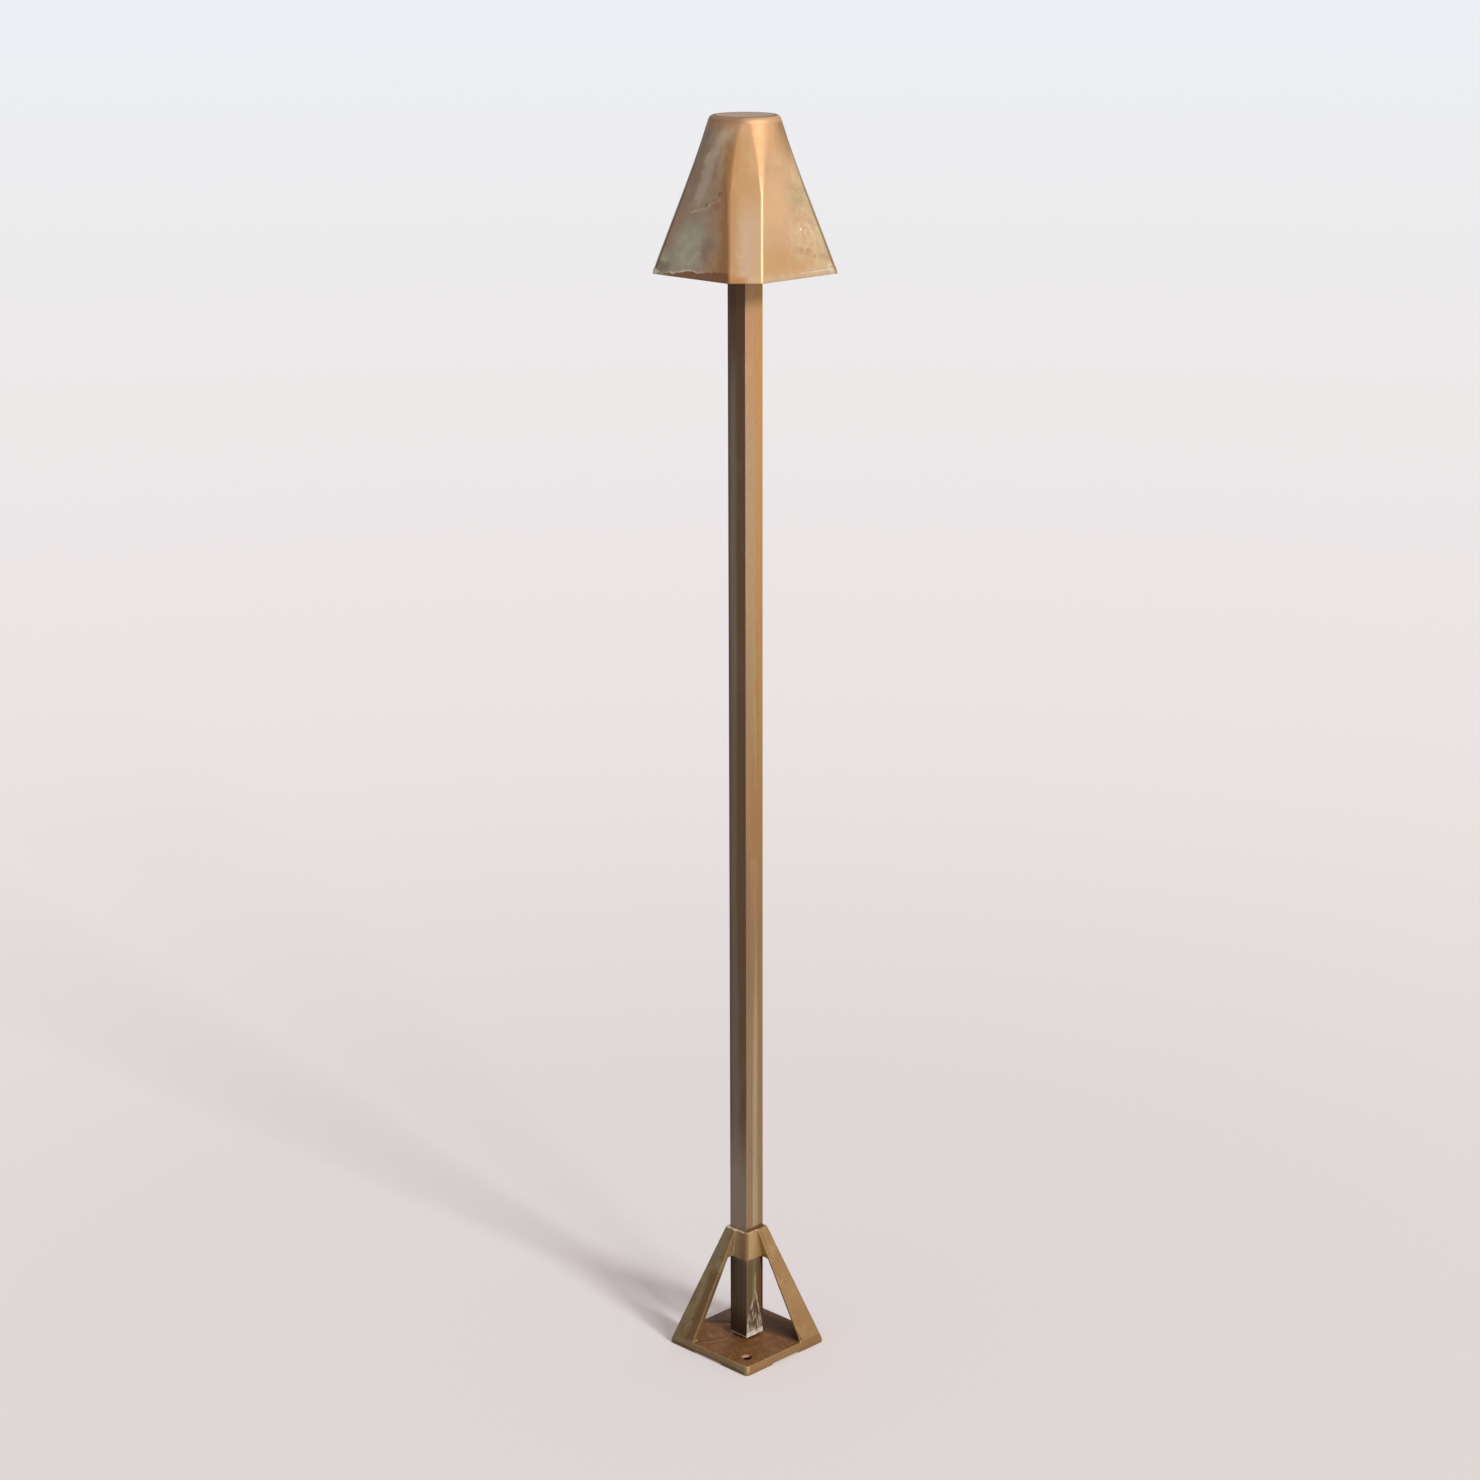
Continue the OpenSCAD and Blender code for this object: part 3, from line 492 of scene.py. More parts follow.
def stem_brass():
    s = Shader("stem_weathered_brass")
    streak = s.noise(3.2, 4, 0.6, 0.2, stretch=(1, 1, 0.012))
    wide = s.noise(9, 3, 0.5, 0.3, stretch=(1, 1, 0.02), shift=(5, 3, 0))
    drift = s.noise(150, 3, 0.5)
    mid = s.noise(22, 4, 0.6, 0.5, stretch=(1, 1, 0.35))
    fine = s.noise(3.0, 4, 0.65, 0.3, stretch=(1, 1, 0.5))
    up = line(s.z + blur(drift, 130.0), 480.0, 1000.0)
    dark_side = step(s.nx + s.ny, 0.3, -0.3)

    # Light faces: tan at the top, browner and streakier on the way down
    light = mix(up, (141, 108, 79), (188, 144, 101))
    light.lay((178, 126, 74), step(s.y, -2.0, 9.0) * 0.35 * step(s.z, 420.0, 700.0))
    light.lay((170, 122, 78), step(streak + blur(drift, 0.5), 0.46, 0.62) * 0.3)
    light.lay((170, 150, 118), step(wide, 0.5, 0.64) * step(s.z, 640.0, 300.0) * 0.45)
    light.lay((206, 172, 130), step(mid, 0.56, 0.7) * 0.2)
    waist = step(abs(s.z - 655.0), 190.0, 60.0)
    light.lay((155, 113, 62), waist * 0.6)
    cloud = (
        step(s.z, 1080.0, 1000.0) * step(s.z, 600.0, 760.0)
        * step(s.y + blur(drift, 8.0), 4.0, 0.0)
    )
    light.lay((168, 150, 122), cloud * 0.4)
    right = step(s.y + blur(drift, 7.0) + blur(streak, 2.0), 2.5, 7.5)
    light.lay(mix(up, (142, 109, 68), (194, 144, 76)), right * 0.8)
    left = step(s.y + blur(drift, 10.0), -3.0, -8.0) * step(s.z, 860.0, 700.0)
    light.lay(mix(step(s.z, 520.0, 620.0), (136, 108, 84), (158, 122, 98)), left * 0.55)
    tinge = (
        step(abs(s.y - 2.0 + blur(drift, 12.0)), 3.2, 0.6)
        * step(mid + blur(drift, 0.6), 0.46, 0.6)
    )
    light.lay((160, 152, 104), tinge * step(s.z, 500.0, 700.0) * 0.35)
    pale = step(abs(s.y - 1.5 + blur(wide, 9.0)), 4.5, 1.5) * step(s.z, 480.0, 330.0)
    light.lay((174, 156, 124), pale * lerp(step(s.z, 240.0, 180.0), 0.35, 0.6))

    # Dark faces: darker than the light faces, partly as patina and partly as painted shade; near
    # black-brown at the top, greyer on their outer half, lighter low down
    dark = mix(step(s.z, 1040.0, 1110.0), (112, 92, 72), (87, 57, 36))
    sideways = lerp(step(abs(s.nx), 0.6, 0.8), s.x, -s.y)
    sideways = sideways + blur(drift, 5.0) + blur(wide, 4.0)
    centre = step(abs(sideways + 3.0), 6.5, 1.5) * step(s.z, 1140.0, 960.0)
    dark.lay(mix(step(s.z, 640.0, 800.0), (113, 98, 79), (128, 114, 96)), centre * 0.7)
    inward = sideways + line(s.z, 460.0, 300.0, 0.0, -4.0)
    dark.lay((98, 70, 41), step(inward, -3.0, 2.0) * 0.85)
    dark.lay((80, 74, 62), step(sideways, -7.6, -10.0) * step(s.z, 1180.0, 1080.0) * 0.75)
    dark.lay((92, 70, 50), step(streak, 0.48, 0.64) * 0.35)
    dark.lay((124, 106, 88), step(mid, 0.55, 0.7) * 0.25)
    dark.lay((148, 132, 112), step(s.z, 285.0, 180.0) * 0.66)
    colour = mix(dark_side, light, dark)

    # Inside the base: darker, with green and red runs and a pale, streaked patch at the foot
    low = step(s.z, 112.0, 96.0)
    inner_dark = mix(step(streak, 0.4, 0.6), (76, 54, 36), (88, 68, 50))
    colour.lay(mix(dark_side, (108, 88, 60), inner_dark), low * 0.85)
    colour.lay((61, 35, 18), step(s.z, 52.0, 24.0) * dark_side * 0.8)
    front = step(s.nx, 0.5, 0.8) * low
    shift = (104.0 - s.z) * 0.05 + blur(mid, 3.0) + blur(streak, 1.5)
    green = step(abs(s.y + 0.6 + shift), 3.0, 0.6) * step(s.z, 48.0, 62.0)
    colour.lay((131, 129, 76), front * green * 0.6)
    beige = step(abs(s.y - 1.6 + shift), 1.8, 0.4) * s.spot((12.7, 0, 72), (0, 0, 13), 0.0, 0.5)
    colour.lay((183, 164, 122), front * beige * 0.8)
    red = step(s.y + blur(mid, 3.0) + blur(streak, 2.0), 3.0, 5.5) * step(s.z, 22.0, 36.0)
    colour.lay((122, 74, 50), front * red * 0.7)
    colour.lay((70, 36, 22), front * step(s.y, 8.6, 11.0) * step(s.z, 22.0, 36.0) * 0.85)
    corner = step(s.nx + s.ny, 0.75, 0.3) * step(s.nx, 0.1, 0.3) * step(s.y, 0.0, -8.0)
    colour.lay((86, 68, 50), low * corner * step(s.z, 20.0, 23.0) * 0.7)
    jitter = blur(fine, 3.5) + blur(streak, 3.0)
    # How far past the patch's right edge and short of its left edge
    past = s.y + jitter - line(s.z, 26.0, 64.0, 9.6, 1.0)
    short = least(line(s.z, 34.0, 58.0, 11.2, 2.4), 11.2) - (-s.y + jitter)
    within = (
        step(past, 1.2, -1.2) * step(short, -1.2, 1.2) * step(s.z + blur(fine, 16.0), 62.0, 48.0)
    )
    thread = s.noise(1.9, 3, 0.6, 0.5, stretch=(1, 1, 0.14), shift=(4, 8, 1))
    inner = mix(step(thread + blur(fine, 0.4), 0.46, 0.66), (96, 74, 54), (192, 174, 152))
    inner.lay((216, 202, 186), step(s.z, 28.0, 21.0) * step(thread, 0.4, 0.5) * 0.5)
    colour.lay(inner, front * within * 0.85)
    broken = step(fine + blur(streak, 0.6), 0.34, 0.52)
    right_edge = step(abs(past), 1.5, 0.4) * step(s.z, 70.0, 60.0) * broken
    left_edge = step(abs(short - 0.4), line(s.z, 24.0, 36.0, 2.4, 1.3), 0.4)
    left_edge = left_edge * step(s.z, 62.0, 54.0) * most(broken, step(s.z, 36.0, 28.0))
    colour.lay((206, 190, 170), front * most(right_edge, left_edge) * 0.8)
    # A dark line where it leaves the collar, and a pale band at its foot
    under = (
        step(s.z + blur(fine, 3.0), 142.5, 140.5) * step(s.z, 136.0, 137.0) * step(s.nx, 0.2, 0.6)
    )
    colour.lay((96, 66, 38), under * 0.8)
    foot = step(s.z + blur(fine, 5.0), 19.5, 17.2) * step(s.nx, 0.3, 0.7) * 0.92
    foot = most(foot, step(s.z + blur(fine, 2.0), 14.8, 13.8) * lerp(dark_side, 0.8, 0.5))
    colour.lay(
        mix(step(thread + blur(fine, 0.7), 0.3, 0.5), (168, 150, 132), (242, 232, 218)), foot
    )
    colour.dim(line(fine * 0.5 + streak * 0.5, 0.35, 0.65, 0.9, 1.07))

    metallic = lerp(dark_side, 0.5, 0.28)
    rough = lerp(dark_side, 0.5, 0.56) + blur(fine, 0.18) + blur(streak, 0.14)
    height = streak * 0.35 + fine * 0.2 + mid * 0.5
    return s.finish(colour, metallic, rough, s.bump(height, 0.35, 0.4), Specular_IOR_Level=0.3)


def cast_brass():
    s = Shader("cast_weathered_brass")
    big = s.noise(38, 4, 0.6, 0.8)
    mid = s.noise(11, 5, 0.62, 0.8, shift=(3, 9, 1))
    grain = s.noise(1.7, 3, 0.6)
    pock = s.cells(2.6)
    wear = s.attribute("wear")
    hollowness = s.attribute("hollowness")
    dark_side = step(s.nx + s.ny + s.nz * 0.25, 0.34, -0.34)
    top = step(s.nz, 0.75, 0.95) * step(s.z, 13.0, 10.8)
    # How far from the middle the struts' inner edges stand
    inner_edge = line(s.z, PLATE_Z, COLLAR_Z, 24.95, 1.05)

    gold = mix(step(big, 0.38, 0.62), (146, 112, 73), (158, 125, 85))
    gold.lay((138, 112, 80), step(mid, 0.54, 0.7) * 0.4)
    olive = mix(step(big + blur(mid, 0.5), 0.36, 0.64), (123, 98, 67), (137, 119, 88))
    # A darker run down the inner half of the struts' dark faces
    on_y = step(abs(s.ny) - abs(s.nx), -0.1, 0.1)
    sideways = lerp(on_y, s.y, s.x)
    inward = abs(sideways) - inner_edge
    run = (
        step(inward + blur(mid, 5.0) + blur(big, 6.0), 15.0, 9.0) * step(inward, 0.6, 2.2)
        * step(s.z, 10.5, 13.0)
    )
    olive.lay((105, 76, 44), run * step(s.z + blur(mid, 16.0), 98.0, 82.0) * 0.75)
    olive.lay((131, 97, 52), run * step(s.z + blur(mid, 12.0), 104.0, 116.0) * 0.5)
    gold.lay((126, 92, 54), step(s.z, 92.0, 112.0) * step(inward, 8.0, 2.0) * 0.5)
    brown = step(inward + (s.z - PLATE_Z) * 0.2 + blur(mid, 2.0), 5.5, 3.5) * step(s.z, 10.5, 12.0)
    gold.lay((112, 70, 42), brown * 0.8)
    gold.lay(
        (96, 72, 42), step(inward, 1.8, 0.6) * step(s.z, 10.5, 14.0) * step(s.z, 104.0, 98.0) * 0.6
    )
    olive.lay((126, 118, 96), step(s.z, 92.0, 112.0) * step(inward, 4.0, 9.0) * 0.6)
    # Along the struts' outer edges
    outer = line(s.z, LIP_Z, COLLAR_Z, 59.7, 16.05) - abs(sideways)
    olive.lay((78, 68, 54), step(outer, 2.4, 1.2) * 0.6)
    gold.lay((150, 92, 54), step(outer, 1.8, 0.9) * step(s.z, 30.0, 90.0) * 0.5)
    dots = step(s.cells(6.0), 0.16, 0.08) * step(mid, 0.5, 0.62)
    gold.lay((222, 190, 140), dots * 0.5)
    colour = mix(dark_side, gold, olive)
    # The flanges' cut ends, and the valley between a strut and the collar
    cut = step(s.nx, 0.6, 0.85) * step(s.x, 0.0, -4.0) * step(s.z, 10.5, 13.0)
    cut_colour = mix(step(s.z + blur(mid, 20.0), 30.0, 54.0), (128, 96, 62), (114, 86, 60))
    cut_colour.lay((142, 121, 88), step(s.z + blur(mid, 20.0), 78.0, 96.0))
    colour.lay(cut_colour, cut * 0.95)
    # Painted light: the valley's face looks away from the key lamp and is painted lighter than its
    # shade
    valley = step(s.ny, -0.6, -0.85) * step(s.x, 12.0, 15.0) * step(s.y, 0.0, 1.0)
    colour.lay(mix(step(s.z, 100.0, 112.0), (112, 84, 48), (166, 128, 76)), valley)
    # Collar: dark towards the near edge on one side, streaked gold on the other
    collar = step(s.z, 101.0, 104.0) * step(most(abs(s.x), abs(s.y)), 16.6, 15.6)
    collar_dark = mix(step(s.x + blur(mid, 8.0), -8.0, 9.0), (180, 156, 124), (140, 106, 72))
    collar_light = mix(step(s.y + blur(mid, 8.0), -3.0, 5.0), (178, 148, 103), (158, 126, 79))
    collar_light.lay((116, 86, 56), step(s.y + blur(mid, 2.0), -11.0, -13.5) * 0.85)
    collar_light.lay((196, 164, 120), step(abs(s.y + 6.5 + blur(mid, 3.0)), 1.6, 0.4) * 0.4)
    collar_light.lay((146, 110, 66), step(s.y + blur(mid, 3.0), 5.0, 9.5) * 0.6)
    colour.lay(mix(dark_side, collar_light, collar_dark), collar * 0.85)
    # Plate: warm brown with stains and long pale scratches, and a painted shadow behind the stem
    plate = mix(step(mid, 0.38, 0.66), (122, 79, 41), (139, 95, 53))
    plate.lay((148, 116, 82), step(big, 0.52, 0.66) * 0.35)
    slant = s.put(
        "ShaderNodeVectorRotate", {"Vector": s.place, "Angle": math.radians(24)},
        rotation_type="Z_AXIS",
    )
    drawn = s.put("ShaderNodeVectorMath", (slant, (0.05, 1.0, 1.0)), operation="MULTIPLY")
    hair = s.put("ShaderNodeTexNoise", {"Vector": drawn, "Scale": 0.8, "Detail": 2.0})
    plate.lay((184, 148, 110), step(Value(s, hair.outputs["Fac"]), 0.64, 0.7) * 0.4)
    # A painted shadow of the stem and the right strut over the plate's back, and a painted contact
    # shadow next to the stem
    bound = least(s.x * 0.9 + 31.5, s.x * 0.15 + 16.0)
    back = s.y - bound + blur(mid, 3.0)
    left_back = mix(step(back + blur(mid, 5.0), 7.0, 12.0), (104, 77, 58), (118, 95, 83))
    right_back = mix(step(back + blur(mid, 6.0), 29.0, 35.0), (102, 73, 53), (124, 92, 70))
    shadow_tone = mix(step(s.x, -24.0, -14.0), left_back, right_back)
    shadow_core = step(back, 24.0, 12.0) * step(s.x, -14.0, -4.0)
    shadow_core = most(shadow_core, step(back, 4.0, 1.5) * step(s.x, -20.0, -28.0))
    plate_shadow = step(back, -1.5, 1.5)
    plate.lay(mix(shadow_core, shadow_tone, (94, 67, 48)), plate_shadow * 0.9)
    plate.lay((82, 52, 32), s.spot((-19, -4, 10), (9, 9, 0), blur(mid, 1.0), 0.5) * 0.8)
    along = s.y + 52.6
    bow = -19.7 + along * 0.606 + along * (-35.1 - s.y) * 0.0121
    scratch = step(abs(s.x - bow), 0.9, 0.3) * step(s.y, -54.0, -50.0) * step(s.y, -16.0, -26.0)
    plate.lay((204, 160, 116), scratch * 0.6)
    # The near ground screw's hole: a painted highlight on its far rim and the far side of the
    # sink, painted shade on the sink's near side, and its bore painted dark as shade
    hx, hy = s.x - HOLE, s.y + HOLE
    away = root(hx * hx + hy * hy)
    to_far = hx - hy * 0.3
    plate.lay((190, 140, 106), step(away, 7.2, 5.8) * step(to_far, -1.0, -4.5) * 0.55)
    colour.lay(plate, top)
    sink = step(away, 6.0, 5.4) * step(s.z, 10.2, 9.6)
    cone = mix(step(to_far, -0.5, -3.5), (60, 32, 16), (178, 130, 98))
    colour.lay(mix(step(away, 4.1, 3.3), cone, (26, 12, 6)), sink)
    # The plate's edge, then darker in the hollows and wear on the edges
    low_edge = step(s.z, 11.0, 9.6) * (1 - step(s.nz, 0.75, 0.95)) * (1 - step(away, 6.5, 5.5))
    colour.lay(
        mix(dark_side, (120, 88, 56), mix(step(s.z, 4.8, 3.8), (132, 107, 78), (80, 64, 48))),
        low_edge * 0.55,
    )
    colour.lay((74, 50, 32), step(hollowness, 0.25, 0.95) * (1 - most(collar * 0.8, valley)) * 0.5)
    wear_and_highlight = (
        step(wear + blur(mid, 0.7), 0.35, 0.95) * lerp(step(s.z, 12.0, 20.0), 0.26, 0.14)
        * (1 - collar * 0.8)
    )
    colour.lay((184, 146, 102), wear_and_highlight)
    # Pale crust on the collar's upper rim, and painted glints on the fillets at the struts' feet
    rim = (
        step(s.z, 135.8, 137.2) * step(s.x + s.y, 4.0, -4.0)
        * step(mid + blur(grain, 0.8), 0.36, 0.5)
    )
    colour.lay((224, 204, 174), rim * 0.8)
    for cx, cy, size, much in ((-26.2, -52.7, 2.2, 0.3), (51.7, 17.7, 1.3, 0.9)):
        glint = s.spot((cx, cy, 11.2), (size, size, 1.5), blur(grain, 1.2), 0.4)
        colour.lay((236, 214, 180), glint * much)
    colour.dim(line(grain * 0.6 + mid * 0.4, 0.35, 0.65, 0.88, 1.08))

    # The painted shadow is also less metallic and rougher
    dull = top * plate_shadow
    metallic = lerp(dull, lerp(most(dark_side, top), 0.45, 0.28), 0.1)
    rough = 0.56 + blur(mid, 0.2) + blur(grain, 0.15) - wear * 0.08 + dull * 0.15
    height = mid * 0.6 + grain * 0.35 + step(pock, 0.12, 0.3) * 0.25
    return s.finish(colour, metallic, rough, s.bump(height, 0.5, 0.5), Specular_IOR_Level=0.12)


def turned_brass():
    s = Shader("turned_brass")
    fine = s.noise(2.2, 4, 0.6)
    mid = s.noise(9, 4, 0.6, 0.5)
    lathe = s.noise(0.35, 2, 0.5, stretch=(0.02, 0.02, 1))
    colour = mix(step(mid, 0.38, 0.66), (166, 126, 76), (190, 150, 94))
    colour.lay((132, 92, 56), step(fine, 0.52, 0.7) * 0.5)
    low = step(s.z, 30.0, 10.0)
    colour.lay((62, 44, 30), low * 0.8)
    rough = 0.3 + blur(lathe, 0.2) + blur(mid, 0.16) + low * 0.25
    return s.finish(colour, 0.85, rough, s.bump(lathe * 0.4 + fine * 0.4, 0.08, 0.4))


def steel():
    s = Shader("screw_steel")
    fine = s.noise(1.2, 3, 0.6)
    mid = s.noise(4, 3, 0.6, 0.6)
    colour = mix(step(mid, 0.35, 0.7), (150, 148, 144), (186, 185, 182))
    colour.lay((128, 100, 74), step(fine, 0.6, 0.74) * 0.5)
    rough = 0.34 + blur(fine, 0.3)
    return s.finish(colour, 0.95, rough, s.bump(fine, 0.05, 0.4))


def ceramic():
    s = Shader("holder_ceramic")
    fine = s.noise(0.7, 3, 0.6)
    stain = s.noise(6, 4, 0.6, 0.6)
    colour = mix(step(stain, 0.5, 0.72), (228, 222, 208), (206, 196, 174))
    return s.finish(colour, 0.0, 0.32 + blur(fine, 0.2), s.bump(fine, 0.03, 0.3))


def frosted_glass():
    s = Shader("lens_frosted_glass")
    fine = s.noise(0.6, 3, 0.6)
    dust = s.noise(7, 4, 0.6, 0.4)
    colour = mix(step(dust, 0.5, 0.75), (240, 243, 240), (222, 222, 210))
    rough = 0.38 + blur(dust, 0.2)
    return s.finish(colour, 0.0, rough, s.bump(fine, 0.03, 0.5), Transmission_Weight=0.9, IOR=1.5)


def plain(name, size, tones, low, high, rough, bump, coarse=0.6, stretch=(1, 1, 1), **settings):
    """A material with one grain, which its colour, its roughness and its bumps follow."""
    s = Shader(name)
    grain = s.noise(size, 3, coarse, stretch=stretch)
    colour = mix(step(grain, *tones), low, high)
    return s.finish(colour, 0.0, rough + blur(grain, 0.2), s.bump(grain, *bump), **settings)


def sleeve(name, low, high):
    return plain(name, 1.0, (0.4, 0.66), low, high, 0.42, (0.03, 0.3), stretch=(1, 1, 0.2))


looks = {
    "cast_brass": cast_brass(),
    "stem_brass": stem_brass(),
    "shade_brass": shade_brass(),
    "turned_brass": turned_brass(),
    "steel": steel(),
    "black_rubber": plain(
        "grommet_rubber", 0.9, (0.4, 0.65), (26, 25, 25), (46, 44, 42), 0.62, (0.05, 0.4)
    ),
    "silicone": plain(
        "gasket_silicone", 1.4, (0.38, 0.66), (176, 172, 164), (200, 197, 188), 0.5, (0.04, 0.4),
        Subsurface_Weight=0.1,
    ),
    "ceramic": ceramic(),
    "wire_black": sleeve("wire_black_sleeve", (24, 24, 25), (42, 41, 41)),
    "wire_white": sleeve("wire_white_sleeve", (206, 204, 196), (228, 226, 220)),
    "sleeve_blue": sleeve("splice_sleeve_blue", (30, 62, 128), (52, 88, 160)),
    "frosted_glass": frosted_glass(),
    "lamp_resin": plain(
        "lamp_resin", 1.4, (0.36, 0.66), (228, 190, 96), (246, 220, 142), 0.3, (0.04, 0.3),
        coarse=0.5, stretch=(0.3, 0.3, 1), Coat_Weight=0.3,
    ),
}

for row in frame["record"]["subparts"]:
    for slot in nodes[row["node"]].material_slots:
        slot.material = looks[row["material_slot"]]


# ---------------------------------------------------------------- the shade

# The CAD model's sizes: across the faces, the facets and the top, the height and the wall; the
# rounded shoulder and how far the facets bow inward. Then the crease round the top and the rim's
# rounding, which are made here
SHADE_W, CORNER_W, TOP_D, SHADE_H, WALL = 153.0, 183.0, 69.8, 153.8, 3.0
SHOULDER_R, BOW, CREASE, RIM_R = 5.5, 11.5, 0.5, 0.7
TOP_R = TOP_D / 2
# The hips' rounding starts with HIP_R at the rim, grows by HIP_GROWS all the way up and, close to
# the top, on to a full circle but for NEAR_ROUND
HIP_R, HIP_GROWS, NEAR_ROUND = 1.0, 15.0, 0.4
# The least that is left of a rounding, of a hip beside its facet and of a facet's flat
LEAST_R, LEAST_HIP, LEAST_FLAT = 0.5, 1.1, 0.3
# The shares of height where the crease down a facet starts, is full, begins to fade and ends
FOLD, FOLD_AT = math.radians(10), (0.48, 0.64, 0.89, 0.962)
SHADE_Z0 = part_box("shade")[0].z / MM
# How finely it is cut: the levels up the wall, which crowd together towards the top, the steps of
# each rounding, the cuts across a flat and the radii of the rings under and on the top
LEVELS, CROWDING, HIP_N, RIM_N, SHOULDER_N, CREASE_N = 60, 1.4, 12, 4, 10, 6
FLAT = (0.03, 0.08, 0.18, 0.32, 0.5, 0.68, 0.82, 0.92, 0.97)
CEILING_RINGS, TOP_RINGS = (6.0, 14.0, 22.0, 28.0), (24.0, 16.0, 8.0)
# No level comes nearer to the ceiling or to the shoulder, in shares of the height
CLEAR = 0.004
UNEVEN, SHARP = 0.1, math.radians(50)
EIGHTH = math.pi / 4


def cut_flats(ring):
    """A ring of eight arcs, with the flats between them cut into strips."""
    out = []
    per = HIP_N + 1
    for q in range(8):
        out.extend(ring[q * per:(q + 1) * per])
        p0 = ring[(q + 1) * per - 1]
        p1 = ring[((q + 1) * per) % len(ring)]
        for share in FLAT:
            out.append(tuple(p0[i] + (p1[i] - p0[i]) * share for i in range(3)))
    return out


def hip_section(a, d, r, z):
    """Points of one ring: faces at distance a, facets at d and hips rounded by r."""
    ring = []
    for q in range(8):
        turn = math.radians(45 * q)
        here = (a if q % 2 == 0 else d) - r
        there = (d if q % 2 == 0 else a) - r
        side = (there - here * math.cos(EIGHTH)) / math.sin(EIGHTH)
        cx = here * math.cos(turn) - side * math.sin(turn)
        cy = here * math.sin(turn) + side * math.cos(turn)
        for k in range(HIP_N + 1):
            arc = turn + EIGHTH * k / HIP_N
            ring.append((cx + r * math.cos(arc), cy + r * math.sin(arc), z))
    return cut_flats(ring)


def creased_section(a, d, half, fold, z):
    """Points of one ring whose facets are flat over half on each side of their middle, and whose
    hips run on from there at an angle of fold and end square on the faces."""
    cut = a * math.sqrt(2) - d - half
    r = cut / (math.sqrt(2) * (1 - math.cos(EIGHTH - fold)))
    side = (d - r * math.cos(fold) - half + r * math.sin(fold)) / math.sqrt(2)
    ring = []
    for q in range(8):
        to_facet = q % 2 == 0
        face = math.radians(45 * (q if to_facet else q + 1))
        hand = 1 if to_facet else -1
        cx = (a - r) * math.cos(face) - hand * side * math.sin(face)
        cy = (a - r) * math.sin(face) + hand * side * math.cos(face)
        for k in range(HIP_N + 1):
            share = k / HIP_N if to_facet else 1 - k / HIP_N
            arc = face + hand * (EIGHTH - fold) * share
            ring.append((cx + r * math.cos(arc), cy + r * math.sin(arc), z))
    return cut_flats(ring)


def profile(t, inset, z):
    """How far out faces and facets stand at a share of the shade's height, and the height."""
    face = SHADE_W / 2 + (TOP_R - SHADE_W / 2) * t - inset
    facet = CORNER_W / 2 + (TOP_R - CORNER_W / 2) * t - BOW * t * t * (1 - t) - inset
    return face, facet, SHADE_Z0 + SHADE_H * t if z is None else z


def shade_section(t, inset, z=None):
    """The inside of the shade, whose facets run straight into the round top."""
    face, facet, z = profile(t, inset, z)
    hip = HIP_R + HIP_GROWS * t + (TOP_R - NEAR_ROUND - (HIP_R + HIP_GROWS)) * t ** 14
    return hip_section(face, facet, max(hip - inset, LEAST_R), z)


def ease(value, low, high):
    share = max(0.0, min(1.0, (value - low) / (high - low)))
    return share * share * (3 - 2 * share)


def skin_section(t, inset=0.0, z=None):
    """The outside of the shade, where the facets narrow to a pointed arch and end in a crease."""
    face, facet, z = profile(t, inset, z)
    # A flat of no width at all, above the arches' tips, would leave strips without area
    arch = max(ARCH * math.sqrt(max(ARCH_TIP - t, 0.0)), LEAST_FLAT)
    half = min(face * math.sqrt(2) - facet - LEAST_HIP, arch)
    start, full, fade, end = FOLD_AT
    return creased_section(face, facet, half, FOLD * ease(t, start, full) * ease(t, end, fade), z)


def round_section(r, z):
    return hip_section(r, r, r - NEAR_ROUND, z)


